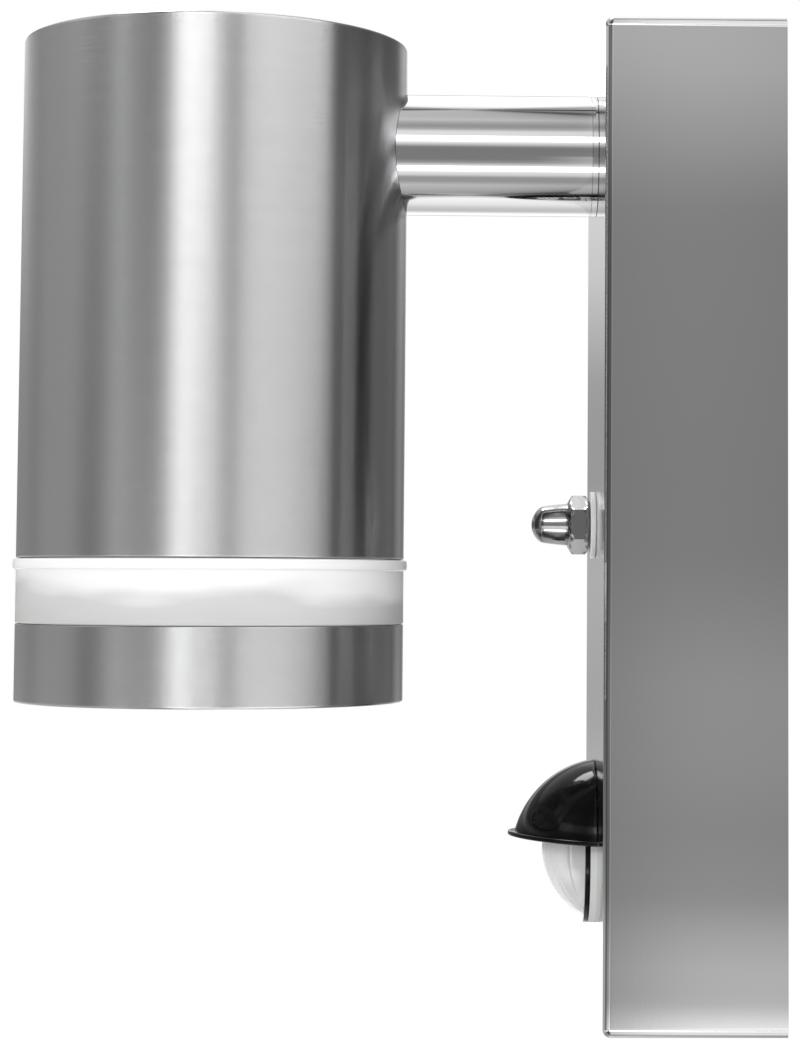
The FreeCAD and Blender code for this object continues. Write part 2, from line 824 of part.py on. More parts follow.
def make_earth_tag():
    """A ring tag under the arm's nut, its tab and crimp barrel pointing down."""
    body = new_body("earth_tag", z=S.arm_height)
    ring = new_sketch(body, "front", TAG_BACK)
    draw_circle(ring, ZERO, ZERO, S.tag_diameter / 2)
    grow(body, ring, S.tag_thickness)
    tab = new_sketch(body, "front", TAG_BACK)
    half = S.tag_width / 2
    draw_box(tab, -half, half, -S.tag_reach, -S.tag_diameter / 4)
    grow(body, tab, S.tag_thickness)
    bore = S.wire_diameter / 2 + S.seat_gap
    barrel = new_sketch(body, "top", -S.tag_reach)
    draw_circle(barrel, ZERO, -TAG_BACK, bore + S.tag_thickness / 2)
    grow(body, barrel, S.tag_width, both=True)
    wire = new_sketch(body, "top", -S.tag_reach)
    draw_circle(wire, ZERO, -TAG_BACK, bore)
    cut(body, wire, S.tag_width)
    hole = new_sketch(body, "front", TAG_BACK)
    draw_circle(hole, ZERO, ZERO, NIPPLE_RADIUS + S.seat_gap)
    cut(body, hole)


def make_saddle_washer():
    """A washer whose back follows the inside of the lamp tube and whose front is flat."""
    body = new_body("saddle_washer", z=S.arm_height)
    back = S.lamp_reach - TUBE_RADIUS
    disc = new_sketch(body, "front", back)
    draw_circle(disc, ZERO, ZERO, S.saddle_diameter / 2)
    grow(body, disc, SADDLE_FRONT - back)
    outside = new_sketch(body, "top")
    draw_circle(outside, ZERO, -S.lamp_reach, TUBE_INSIDE - S.seat_gap)
    draw_circle(outside, ZERO, -S.lamp_reach, TUBE_RADIUS + S.overrun)
    cut(body, outside)
    hole = new_sketch(body, "front")
    draw_circle(hole, ZERO, ZERO, NIPPLE_HOLE)
    cut(body, hole)


def make_lamp_tube():
    """The downlight's tube with its closed top, and the hole where the arm meets it."""
    top, edge = TUBE_TOP, S.tube_edge
    body = turned_upright("lamp_tube", [
        (ZERO, top),
        (TUBE_RADIUS - edge, top),
        (TUBE_RADIUS, top - edge, edge, RIGHT),
        (TUBE_RADIUS, TUBE_BOTTOM),
        (TUBE_INSIDE, TUBE_BOTTOM),
        (TUBE_INSIDE, top - S.tube_wall),
        (ZERO, top - S.tube_wall),
    ])
    hole = new_sketch(body, "front")
    draw_circle(hole, ZERO, S.arm_height, NIPPLE_HOLE)
    cut(body, hole, TUBE_RADIUS + S.overrun)


INSERT_OUTSIDE = TUBE_INSIDE - S.seat_gap
INSERT_INSIDE = INSERT_OUTSIDE - S.insert_wall
FLANGE_TOP = TUBE_BOTTOM - S.cap_gap
BAND_TOP = FLANGE_TOP - S.flange_thickness
BAND_BOTTOM = BAND_TOP - S.band_height
END_TOP = BAND_BOTTOM - S.cap_gap
END_BOTTOM = END_TOP - S.end_ring_height
GASKET_BOTTOM = END_BOTTOM + S.tube_wall
GLASS_BOTTOM = GASKET_BOTTOM + S.glass_gasket_thickness
GLASS_TOP = GLASS_BOTTOM + S.glass_thickness
GLASS_RADIUS = TUBE_INSIDE - S.running_gap
SPIGOT_OUTSIDE = INSERT_INSIDE - S.running_gap


def make_cap():
    """The sealed bottom: threaded ring in the tube, clear ring, seal, steel ring and glass."""
    low = TUBE_BOTTOM + S.seal_room
    ring_upright("thread_insert", INSERT_INSIDE, INSERT_OUTSIDE, low, low + S.insert_height)

    seal = new_body("diffuser_seal", y=-S.lamp_reach)
    section = new_sketch(seal, "front")
    middle = (SPIGOT_OUTSIDE + TUBE_INSIDE) / 2
    draw_circle(section, middle, FLANGE_TOP + S.seal_section / 2 + S.cap_gap, S.seal_section / 2)
    turn(seal, section, "V")

    spigot_inside = SPIGOT_OUTSIDE - S.spigot_wall
    skirt_inside = INSERT_OUTSIDE - S.skirt_wall
    turned_upright("diffuser_ring", [
        (spigot_inside, FLANGE_TOP + S.spigot_height),
        (SPIGOT_OUTSIDE, FLANGE_TOP + S.spigot_height),
        (SPIGOT_OUTSIDE, FLANGE_TOP),
        (TUBE_RADIUS + S.flange_overhang, FLANGE_TOP),
        (TUBE_RADIUS + S.flange_overhang, BAND_TOP),
        (TUBE_RADIUS, BAND_TOP),
        (TUBE_RADIUS, BAND_BOTTOM),
        (INSERT_OUTSIDE, BAND_BOTTOM),
        (INSERT_OUTSIDE, GLASS_TOP),
        (skirt_inside, GLASS_TOP),
        (skirt_inside, BAND_BOTTOM),
        (spigot_inside, BAND_BOTTOM + skirt_inside - spigot_inside),
    ])

    edge, lip = S.tube_edge, TUBE_INSIDE - S.end_lip
    turned_upright("end_ring", [
        (TUBE_RADIUS, END_TOP),
        (TUBE_RADIUS, END_BOTTOM + edge),
        (TUBE_RADIUS - edge, END_BOTTOM, edge, RIGHT),
        (lip, END_BOTTOM),
        (lip, GASKET_BOTTOM),
        (TUBE_INSIDE, GASKET_BOTTOM),
        (TUBE_INSIDE, END_TOP),
    ])
    inside = GLASS_RADIUS - S.glass_gasket_width
    ring_upright("glass_gasket", inside, GLASS_RADIUS, GASKET_BOTTOM, GLASS_BOTTOM)
    turned_upright("front_glass", [
        (ZERO, GLASS_BOTTOM), (GLASS_RADIUS, GLASS_BOTTOM), (GLASS_RADIUS, GLASS_TOP), (ZERO, GLASS_TOP)
    ])


HOLDER_TOP = S.arm_height - S.leg_drop
HOLDER_BOTTOM = HOLDER_TOP - S.holder_height
LAMP_TOP = HOLDER_BOTTOM - S.running_gap
LAMP_BOTTOM = LAMP_TOP - S.lamp_length
PIN_RADIUS = S.pin_spacing / 2
PIN_TOP = LAMP_TOP + S.pin_length
CONTACT_BOTTOM = PIN_TOP + S.running_gap


def make_lampholder_bracket():
    """An angle of sheet steel: one leg under the arm's inner nut, one over the lampholder."""
    body = new_body("lampholder_bracket", z=S.arm_height)
    profile = new_sketch(body, "side")
    end = S.lamp_reach + S.leg_reach
    draw_outline(profile, ahead_of_wall([
        (SADDLE_FRONT, S.saddle_diameter / 2),
        (SADDLE_FRONT, -S.leg_drop),
        (end, -S.leg_drop),
        (end, S.leg_thickness - S.leg_drop),
        (LEG_FRONT, S.leg_thickness - S.leg_drop),
        (LEG_FRONT, S.saddle_diameter / 2),
    ]))
    grow(body, profile, S.leg_width, both=True)
    round_edges(body, S.leg_thickness, lambda edge: (
        along(edge, "x") and at(edge, "Y", -SADDLE_FRONT) and at(edge, "Z", -S.leg_drop)))
    fixing = new_sketch(body, "front")
    draw_circle(fixing, ZERO, ZERO, NIPPLE_HOLE)
    cut(body, fixing)
    holes = new_sketch(body, "top")
    draw_circle(holes, ZERO, -S.lamp_reach, S.leg_wire_hole / 2)
    for side in (1, -1):
        place = S.lamp_reach + S.holder_screw_spacing / 2 * side
        draw_circle(holes, ZERO, -place, S.holder_screw / 2 + CASE_HOLE_GAP)
    cut(body, holes)


def draw_holder_screws(sketch, radius):
    for side in (1, -1):
        draw_circle(sketch, ZERO, S.holder_screw_spacing / 2 * side, radius)


def make_lampholder():
    """A ceramic cup whose floor has two keyhole slots that the lamp's pins twist along."""
    body = new_body("lampholder", y=-S.lamp_reach, z=HOLDER_BOTTOM)
    outside = new_sketch(body, "top")
    draw_circle(outside, ZERO, ZERO, S.holder_diameter / 2)
    grow(body, outside, S.holder_height)
    cavity = new_sketch(body, "top", S.holder_floor)
    draw_circle(cavity, ZERO, ZERO, S.holder_cavity / 2)
    cut(body, cavity, S.holder_height, ahead=True)
    threads = new_sketch(body, "top", S.holder_height)
    draw_holder_screws(threads, S.holder_screw / 2 + S.seat_gap)
    cut(body, threads, S.holder_height * 3 / 4)

    neck = (S.pin_neck + S.pin_play) / 2
    rest = new_sketch(body, "top")
    draw_circle(rest, PIN_RADIUS, ZERO, neck)
    rest_hole = cut(body, rest)
    entry = new_sketch(body, "top")
    across, up = PIN_RADIUS * cosine(S.twist_angle), -PIN_RADIUS * sine(S.twist_angle)
    draw_circle(entry, across, up, (S.pin_head + S.pin_play) / 2)
    entry_hole = cut(body, entry)
    path = new_sketch(body, "front")
    draw_box(path, PIN_RADIUS - neck, PIN_RADIUS + neck, -S.overrun, S.holder_floor + S.overrun)
    slot = turn(body, path, "V", S.twist_angle, take=True)
    slot.Reversed = True
    repeat_round(body, [rest_hole, entry_hole, slot], rest, 2)

    screws = new_body("lampholder_screws", y=-S.lamp_reach, z=HOLDER_TOP + S.leg_thickness)
    heads = new_sketch(screws, "top")
    draw_holder_screws(heads, S.holder_screw)
    grow(screws, heads, S.holder_screw / 2)
    shanks = new_sketch(screws, "top")
    draw_holder_screws(shanks, S.holder_screw / 2)
    grow(screws, shanks, S.leg_thickness + S.holder_height / 2, back=True)


def make_contacts():
    """The insulating plate that closes the holder, and the two contacts that hang from it."""
    post = S.contact_post / 2
    plate = new_body("contact_plate", y=-S.lamp_reach, z=HOLDER_TOP - S.contact_plate_thickness)
    disc = new_sketch(plate, "top")
    draw_circle(disc, ZERO, ZERO, S.holder_cavity / 2 - S.seat_gap)
    for side in (1, -1):
        draw_circle(disc, PIN_RADIUS * side, ZERO, post + S.seat_gap)
    grow(plate, disc, S.contact_plate_thickness)

    contacts = new_body("lampholder_contacts", y=-S.lamp_reach, z=CONTACT_BOTTOM)
    leaf = new_sketch(contacts, "top")
    draw_centred(leaf, S.contact_width, S.contact_length, across=PIN_RADIUS)
    leaf_pad = grow(contacts, leaf, S.contact_thickness)
    pillar = new_sketch(contacts, "top", S.contact_thickness)
    draw_circle(pillar, PIN_RADIUS, ZERO, post)
    rise = HOLDER_TOP - CONTACT_BOTTOM - S.contact_thickness + S.leg_thickness
    post_pad = grow(contacts, pillar, rise)
    repeat_round(contacts, [leaf_pad, post_pad], leaf, 2)


LAMP_BULGE_SHARE = 1.1


def make_lamp():
    """The twist-lock reflector lamp: white base, shell, front lens and two headed pins."""
    rim, neck = S.lamp_diameter / 2, S.lamp_neck_diameter / 2
    shell_top = LAMP_BOTTOM + S.lamp_shell_height
    base = S.lamp_base_diameter / 2
    edge = S.lamp_rim / 4
    turned_upright("lamp_base", [
        (ZERO, LAMP_TOP),
        (base - edge, LAMP_TOP),
        (base, LAMP_TOP - edge),
        (base, shell_top + S.lamp_rim),
        (neck - edge, shell_top),
        (ZERO, shell_top),
    ])
    seat = rim - edge - edge
    bulge = S.lamp_diameter * LAMP_BULGE_SHARE
    turned_upright("lamp_shell", [
        (ZERO, shell_top),
        (neck, shell_top),
        (rim, LAMP_BOTTOM + S.lamp_rim, bulge, RIGHT),
        (rim, LAMP_BOTTOM),
        (seat, LAMP_BOTTOM),
        (seat, LAMP_BOTTOM + S.lamp_lens_thickness),
        (seat - edge, LAMP_BOTTOM + S.lamp_lens_thickness),
        (neck - edge, shell_top - edge, bulge, LEFT),
        (ZERO, shell_top - edge),
    ])
    glass = seat - S.seat_gap
    turned_upright("lamp_lens", [
        (ZERO, LAMP_BOTTOM),
        (glass, LAMP_BOTTOM),
        (glass, LAMP_BOTTOM + S.lamp_lens_thickness),
        (ZERO, LAMP_BOTTOM + S.lamp_lens_thickness),
    ])
    pins = new_body("lamp_pins", y=-S.lamp_reach, z=LAMP_TOP)
    necks = new_sketch(pins, "top")
    draw_circle(necks, PIN_RADIUS, ZERO, S.pin_neck / 2)
    neck_pad = grow(pins, necks, S.pin_length)
    heads = new_sketch(pins, "top", S.pin_length - S.pin_head_height)
    draw_circle(heads, PIN_RADIUS, ZERO, S.pin_head / 2)
    head_pad = grow(pins, heads, S.pin_head_height)
    repeat_round(pins, [neck_pad, head_pad], necks, 2)


BEZEL_BACK = CASE_FRONT + S.bezel_seal
BEZEL_FRONT = BEZEL_BACK + S.bezel_thickness
NECK_BACK = BEZEL_BACK - S.neck_length
HOOD_CENTRE = CASE_FRONT - S.hood_sink
HOOD_BACK = CASE_FRONT + S.hood_gap


def hood_radius_at(radius, depth):
    """How far the hood's round outline stands from the sensor's axis at a depth."""
    return leg(radius, depth - HOOD_CENTRE) - S.hood_drop


def hood_tip(radius):
    """Where the hood's round outline would meet the sensor's axis."""
    return HOOD_CENTRE + leg(radius, S.hood_drop)


def hood_cut(rise, far):
    """Half of the side view, above a line that climbs to the front from the hood's rear rim."""
    slope = sine(S.hood_tilt) / cosine(S.hood_tilt)
    reach = S.hood_radius * 2
    rise += S.hood_rim_rise
    return ahead_of_wall([
        (CASE_FRONT - reach, rise - reach * slope),
        (CASE_FRONT + reach, rise + reach * slope),
        (CASE_FRONT + reach, far),
        (CASE_FRONT - reach, far),
    ])


def make_sensor_hood():
    """Bezel, threaded neck and rain hood in one moulding, with a lip along the hood's rim."""
    body = new_body("sensor_hood", z=SENSOR)
    reach = S.hood_radius * 2
    outer = S.hood_radius + S.hood_lip
    lip = new_sketch(body, "side")
    draw_outline(lip, ahead_of_wall([
        (HOOD_BACK, ZERO),
        (HOOD_BACK, hood_radius_at(outer, HOOD_BACK)),
        (hood_tip(outer), ZERO, outer, RIGHT),
    ]))
    turn(body, lip, "H")
    above_lip = new_sketch(body, "side")
    draw_outline(above_lip, hood_cut(S.hood_lip_thickness, reach))
    cut(body, above_lip)
    dome = new_sketch(body, "side")
    shoulder = HOOD_BACK + S.hood_shoulder
    shoulder_radius = hood_radius_at(S.hood_radius, shoulder)
    draw_outline(dome, ahead_of_wall([
        (HOOD_BACK, ZERO),
        (HOOD_BACK, shoulder_radius - S.hood_shoulder),
        (shoulder, shoulder_radius, S.hood_shoulder, RIGHT),
        (hood_tip(S.hood_radius), ZERO, S.hood_radius, RIGHT),
    ]))
    turn(body, dome, "H")
    below_rim = new_sketch(body, "side")
    draw_outline(below_rim, hood_cut(ZERO, -reach))
    cut(body, below_rim)
    seal_room = new_sketch(body, "front", HOOD_BACK)
    draw_circle(seal_room, ZERO, ZERO, S.bezel_radius + S.seat_gap)
    cut(body, seal_room, S.bezel_seal - S.hood_gap, ahead=True)
    bezel = new_sketch(body, "side")
    draw_outline(bezel, ahead_of_wall([
        (NECK_BACK, S.neck_bore),
        (NECK_BACK, S.neck_radius),
        (BEZEL_BACK, S.neck_radius),
        (BEZEL_BACK, S.bezel_radius),
        (BEZEL_FRONT, S.bezel_radius),
        (BEZEL_FRONT, S.neck_bore),
    ]))
    turn(body, bezel, "H")
    inside = new_sketch(body, "side")
    inner = S.hood_radius - S.hood_wall
    draw_outline(inside, ahead_of_wall([
        (NECK_BACK - S.overrun, ZERO),
        (NECK_BACK - S.overrun, S.neck_bore),
        (BEZEL_FRONT, S.neck_bore),
        (BEZEL_FRONT, hood_radius_at(inner, BEZEL_FRONT)),
        (hood_tip(inner), ZERO, inner, RIGHT),
    ]))
    turn(body, inside, "H", take=True)


def make_sensor_lens():
    """The milky dome: part of a sphere on a flange, with a skirt that clips into the neck."""
    centre = CASE_FRONT - S.lens_sink
    inner = S.lens_radius - S.lens_wall
    flange = BEZEL_FRONT + S.lens_wall
    skirt = S.neck_bore - S.seat_gap
    turned_forward("sensor_lens", [
        (BEZEL_FRONT - S.lens_skirt, skirt - S.lens_wall),
        (BEZEL_FRONT - S.lens_skirt, skirt),
        (BEZEL_FRONT, skirt),
        (BEZEL_FRONT, leg(S.lens_radius, BEZEL_FRONT - centre)),
        (centre + S.lens_radius, ZERO, S.lens_radius, RIGHT),
        (centre + inner, ZERO),
        (flange, leg(inner, flange - centre), inner, LEFT),
        (flange, skirt - S.lens_wall),
    ], z=SENSOR)
    ring_forward(
        "sensor_seal", S.neck_radius + CASE_HOLE_GAP, S.bezel_radius - S.seat_gap, CASE_FRONT,
        BEZEL_BACK, SENSOR
    )


HOUSING_BACK = CASE_INSIDE - S.housing_depth
HOUSING_INSIDE = CASE_INSIDE - S.housing_wall
COVER_BACK = HOUSING_BACK - S.cover_thickness
BOARD_FRONT = NECK_BACK - S.board_gap
BOARD_BACK = BOARD_FRONT - S.board_thickness
SCREW_ROOM = S.board_inset + S.board_screw + S.component_gap
BOARD_HEIGHT = (
    SCREW_ROOM + S.relay_height + S.trimmer_gap + S.trimmer_width + S.board_margin
)
RELAY = SENSOR + BOARD_HEIGHT / 2 - SCREW_ROOM - S.relay_height / 2
TRIMMER_DROP = BOARD_HEIGHT / 2 - S.board_margin - S.trimmer_width / 2
CAPACITOR = SENSOR - TRIMMER_DROP + (S.trimmer_width + S.capacitor_diameter) / 2 + S.component_gap
WIRE_RADIUS = S.wire_diameter / 2


def draw_four(sketch, across, up, radius):
    for right in (1, -1):
        for top in (1, -1):
            draw_circle(sketch, across * right, up * top, radius)


def draw_cover_screws(sketch, radius):
    inset = S.corner_boss / 2
    draw_four(sketch, S.housing_width / 2 - inset, S.housing_height / 2 - inset, radius)


def draw_board_screws(sketch, radius):
    draw_four(
        sketch, S.board_width / 2 - S.board_inset, BOARD_HEIGHT / 2 - S.board_inset, radius
    )


def make_sensor_nut():
    """The ring nut on the bezel's neck, with notches for a spanner."""
    back = HOUSING_INSIDE - S.ring_nut_height
    inner = S.neck_radius + S.seat_gap
    body = ring_forward("sensor_nut", inner, S.ring_nut_radius, back, HOUSING_INSIDE, SENSOR)
    notch = new_sketch(body, "front")
    draw_centred(notch, S.ring_nut_notch, S.ring_nut_notch, up=S.ring_nut_radius)
    repeat_round(body, [cut(body, notch)], notch, 6)


def make_sensor_housing():
    """The moulded box behind the case's front, with bosses for its board and its cover."""
    body = new_body("sensor_housing", z=SENSOR)
    outside = new_sketch(body, "front", HOUSING_BACK)
    draw_centred(outside, S.housing_width, S.housing_height)
    grow(body, outside, S.housing_depth)
    room = S.housing_wall * 2
    inside = new_sketch(body, "front", HOUSING_BACK)
    draw_centred(inside, S.housing_width - room, S.housing_height - room)
    cut(body, inside, S.housing_depth - S.housing_wall, ahead=True)
    corners = new_sketch(body, "front", HOUSING_BACK)
    draw_cover_screws(corners, S.corner_boss / 2)
    grow(body, corners, S.housing_depth)
    stands = new_sketch(body, "front", BOARD_FRONT)
    draw_board_screws(stands, S.board_boss / 2)
    grow(body, stands, HOUSING_INSIDE - BOARD_FRONT)
    neck = new_sketch(body, "front")
    draw_circle(neck, ZERO, ZERO, S.neck_radius + CASE_HOLE_GAP)
    cut(body, neck)
    threads = new_sketch(body, "front", HOUSING_BACK)
    draw_cover_screws(threads, S.cover_screw / 2 + S.seat_gap)
    cut(body, threads, S.housing_depth / 2, ahead=True)
    tapped = new_sketch(body, "front", BOARD_FRONT)
    draw_board_screws(tapped, S.board_screw / 2 + S.seat_gap)
    cut(body, tapped, HOUSING_INSIDE - BOARD_FRONT, ahead=True)
    exits = new_sketch(body, "top", S.housing_height / 2)
    for pole in range(POLES - 1):
        draw_circle(exits, FIRST_POLE + POLE_SPACING * pole, -POLE_DEPTH, S.wire_exit_hole / 2)
    cut(body, exits, S.housing_wall + S.overrun)


def make_sensor_cover():
    """The housing's rear cover, with holes for the two trimmers, and its screws."""
    body = new_body("sensor_cover", z=SENSOR)
    plate = new_sketch(body, "front", COVER_BACK)
    draw_centred(plate, S.housing_width, S.housing_height)
    draw_cover_screws(plate, S.cover_screw / 2 + CASE_HOLE_GAP)
    for side in (1, -1):
        place = S.trimmer_spacing / 2 * side
        draw_circle(plate, place, -TRIMMER_DROP, S.knob_diameter / 2 + S.running_gap)
    grow(body, plate, S.cover_thickness)

    screws = new_body("cover_screws", z=SENSOR)
    heads = new_sketch(screws, "front", COVER_BACK)
    draw_cover_screws(heads, S.cover_screw)
    grow(screws, heads, S.cover_screw / 2, back=True)
    shanks = new_sketch(screws, "front", COVER_BACK)
    draw_cover_screws(shanks, S.cover_screw / 2)
    grow(screws, shanks, S.cover_thickness + S.housing_depth / 3)


def make_sensor_board():
    """The circuit board and what is soldered to it."""
    board = new_body("sensor_board", z=SENSOR)
    plate = new_sketch(board, "front", BOARD_BACK)
    draw_centred(plate, S.board_width, BOARD_HEIGHT)
    draw_board_screws(plate, S.board_screw / 2 + S.seat_gap)
    grow(board, plate, S.board_thickness)

    screws = new_body("board_screws", z=SENSOR)
    heads = new_sketch(screws, "front", BOARD_BACK)
    draw_board_screws(heads, S.board_screw)
    grow(screws, heads, S.board_screw / 2, back=True)
    shanks = new_sketch(screws, "front", BOARD_BACK)
    draw_board_screws(shanks, S.board_screw / 2)
    grow(screws, shanks, S.board_thickness + S.board_screw)

    window = S.pyro_radius / 4
    edge = S.pyro_radius / 8
    turned_forward("pyro_sensor", [
        (BOARD_FRONT, ZERO),
        (BOARD_FRONT, S.pyro_radius + edge),
        (BOARD_FRONT + edge, S.pyro_radius + edge),
        (BOARD_FRONT + edge, S.pyro_radius),
        (BOARD_FRONT + S.pyro_height - edge, S.pyro_radius),
        (BOARD_FRONT + S.pyro_height, S.pyro_radius - edge),
        (BOARD_FRONT + S.pyro_height, window),
        (BOARD_FRONT + S.pyro_height - edge, window),
        (BOARD_FRONT + S.pyro_height - edge, ZERO),
    ], z=SENSOR)

    relay = new_body("relay", x=-S.board_width / 4, z=RELAY)
    footprint = new_sketch(relay, "front", BOARD_BACK)
    draw_centred(footprint, S.relay_width, S.relay_height)
    grow(relay, footprint, S.relay_depth, back=True)
    round_edges(relay, S.relay_depth / 12, lambda edge: along(edge, "y"))

    radius, bead = S.capacitor_diameter / 2, S.capacitor_diameter / 12
    turned_forward("supply_capacitor", [
        (BOARD_BACK, ZERO),
        (BOARD_BACK, radius),
        (BOARD_BACK - S.relay_depth + bead, radius),
        (BOARD_BACK - S.relay_depth, radius - bead),
        (BOARD_BACK - S.relay_depth, ZERO),
    ], x=S.board_width / 4, z=CAPACITOR)


def make_trimmers():
    """Two trimmers on the board, each a fixed body and a knob that turns in it."""
    bodies = new_body("trimmer_bodies", z=SENSOR - TRIMMER_DROP)
    blocks = new_sketch(bodies, "front", BOARD_BACK)
    for side in (1, -1):
        draw_centred(blocks, S.trimmer_width, S.trimmer_width, across=S.trimmer_spacing / 2 * side)
    grow(bodies, blocks, S.trimmer_depth, back=True)
    face = BOARD_BACK - S.trimmer_depth
    bearings = new_sketch(bodies, "front", face)
    for side in (1, -1):
        place = S.trimmer_spacing / 2 * side
        draw_circle(bearings, place, ZERO, S.trimmer_shaft / 2 + S.shaft_gap)
    cut(bodies, bearings, S.trimmer_depth * 3 / 4, ahead=True)

    for label, side in (("time_trimmer", -1), ("lux_trimmer", 1)):
        shoulder = face - S.running_gap
        back = COVER_BACK - S.knob_height / 4
        knob = turned_forward(label, [
            (back, ZERO),
            (back, S.knob_diameter / 2),
            (shoulder, S.knob_diameter / 2),
            (shoulder, S.trimmer_shaft / 2),
            (face + S.trimmer_depth / 2, S.trimmer_shaft / 2),
            (face + S.trimmer_depth / 2, ZERO),
        ], x=S.trimmer_spacing / 2 * side, z=SENSOR - TRIMMER_DROP)
        slot = new_sketch(knob, "front", back)
        draw_centred(slot, S.knob_slot, S.knob_diameter + S.overrun)
        cut(knob, slot, S.knob_slot, ahead=True)


def lead_routes():
    """Routes of the wires as (x, depth from the wall, z): one lamp lead, a sensor lead, the earth."""
    inside = S.wire_diameter * 3 / 4
    low, rise = BLOCK + S.block_height / 4, S.arm_height - BLOCK - S.block_height / 4
    pole, front, depth = PIN_RADIUS, S.lamp_reach, POLE_DEPTH
    slack = depth + S.wire_diameter * 3 / 4
    down = HOLDER_TOP + S.leg_thickness
    lamp = [
        (pole, depth, low),
        (pole, depth, low + rise * 0.26),
        (pole - (pole - inside) * 0.2, slack, low + rise * 0.54),
        (pole - (pole - inside) * 0.7, depth + S.running_gap, low + rise * 0.78),
        (inside, depth + S.running_gap, S.arm_height),
        (inside, LEG_FRONT + S.arm_nut_height + S.nipple_end, S.arm_height),
        (pole, front - S.leg_wire_hole * 0.64, S.arm_height),
        (pole, front, S.arm_height),
        (pole, front, down),
    ]
    bend = SENSOR + S.housing_height / 2 - S.housing_wall * 2
    joint, across = SENSOR + BOARD_HEIGHT * 0.4, FIRST_POLE + S.board_inset
    sensor = [
        (across, BOARD_BACK - S.seat_gap, joint),
        (across, depth, joint),
        (FIRST_POLE, depth, bend),
        (FIRST_POLE, depth, BLOCK - S.block_height / 4),
    ]
    tag = S.arm_height - S.tag_reach - S.seat_gap
    reach, deeper = tag - low, TAG_BACK - depth
    earth = [
        (-FIRST_POLE, depth, low),
        (-FIRST_POLE, depth, low + reach * 0.33),
        (-FIRST_POLE * 0.6, depth + deeper * 0.27, low + reach * 0.58),
        (-FIRST_POLE * 0.17, depth + deeper * 0.85, low + reach * 0.74),
        (ZERO, TAG_BACK, low + reach * 0.87),
        (ZERO, TAG_BACK, tag),
    ]
    return lamp, sensor, earth


ARC_SHARE = 0.45


def wire_path(points):
    """Straight runs joined by tangent arcs, each as large as its two runs allow."""
    edges, here = [], points[0]
    for before, corner, after in zip(points, points[1:], points[2:]):
        arriving, leaving = corner - before, after - corner
        shorter = min(arriving.Length, leaving.Length)
        trim = shorter * ARC_SHARE
        arriving.normalize()
        leaving.normalize()
        start, finish = corner - arriving * trim, corner + leaving * trim
        half_turn = arriving.getAngle(leaving) / 2
        radius = trim / math.tan(half_turn)
        inward = (leaving - arriving).normalize()
        middle = corner + inward * (radius / math.cos(half_turn) - radius)
        edges.append(Part.LineSegment(here, start).toShape())
        edges.append(Part.Arc(start, middle, finish).toShape())
        here = finish
    edges.append(Part.LineSegment(here, points[-1]).toShape())
    return Part.Wire(edges)


def wire_solid(route, shift=ZERO, side=1):
    """A round wire along a route of (x, depth, z), shifted or mirrored in x."""
    points = [
        FreeCAD.Vector((number(x) + number(shift)) * side, -number(depth), number(z)) for x, depth, z in route
    ]
    path = wire_path(points)
    end = Part.Circle(points[0], points[1] - points[0], WIRE_RADIUS.value)
    tube = path.makePipeShell([Part.Wire([end.toShape()])], True, True)
    expected = math.pi * WIRE_RADIUS.value ** 2 * path.Length
    print(f"wire {path.Length:.1f} mm long, volume share {tube.Volume / expected:.4f}")
    return tube


def make_wires():
    """The lamp's two leads, the sensor's three and the earth lead."""
    lamp, sensor, earth = lead_routes()
    groups = {
        "lamp_leads": [wire_solid(lamp, side=side) for side in (-1, 1)],
        "sensor_leads": [wire_solid(sensor, POLE_SPACING * pole) for pole in range(POLES - 1)],
        "earth_lead": [wire_solid(earth)],
    }
    for label, solids in groups.items():
        piece = document.addObject("Part::Feature", label)
        piece.Label = label
        piece.Shape = Part.makeCompound(solids) if len(solids) > 1 else solids[0]


make_wall_bracket()
make_stud()
make_cable_grommet()
make_terminal_block()
make_terminal_metal()
make_case()
make_rear_gasket()
make_cap_nut()
make_arm()
make_nipple()
make_earth_tag()
make_saddle_washer()
make_lamp_tube()
make_cap()
make_lampholder_bracket()
make_lampholder()
make_contacts()
make_lamp()
make_sensor_hood()
make_sensor_lens()
make_sensor_nut()
make_sensor_housing()
make_sensor_cover()
make_sensor_board()
make_trimmers()
make_wires()

document.recompute()
for item in document.Objects:
    if "Invalid" in item.State or "Error" in item.State:
        raise RuntimeError(f"{item.Label} failed: {item.State}")

os.makedirs("parts", exist_ok=True)
pieces = [item for item in document.Objects if item.TypeId in ("PartDesign::Body", "Part::Feature")]
for piece in pieces:
    shape = piece.Shape
    if shape.isNull() or not shape.isValid() or not shape.Solids:
        raise RuntimeError(f"{piece.Label} has no sound solid")
    shape.exportStep(f"parts/{piece.Label}.step")
print(f"{len(pieces)} pieces written")
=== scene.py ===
# %% [markdown]
# # An outdoor wall light, dressed for its portrait
#
# The solids of this light come from its CAD model: a steel case on the wall, a short arm, a
# tube with a lamp that shines down, and a motion sensor under a black hood. This lesson puts
# surfaces, finishes, light and a camera on them. Every length is in metres, Z is up, the wall
# is the plane Y = 0 and the light looks along -Y.
#
# The photograph is taken from the side, so the camera looks along -X.

# %% Load the fixed frame
import json
import math

import bmesh
import bpy
import numpy as np
from mathutils import Matrix, Vector

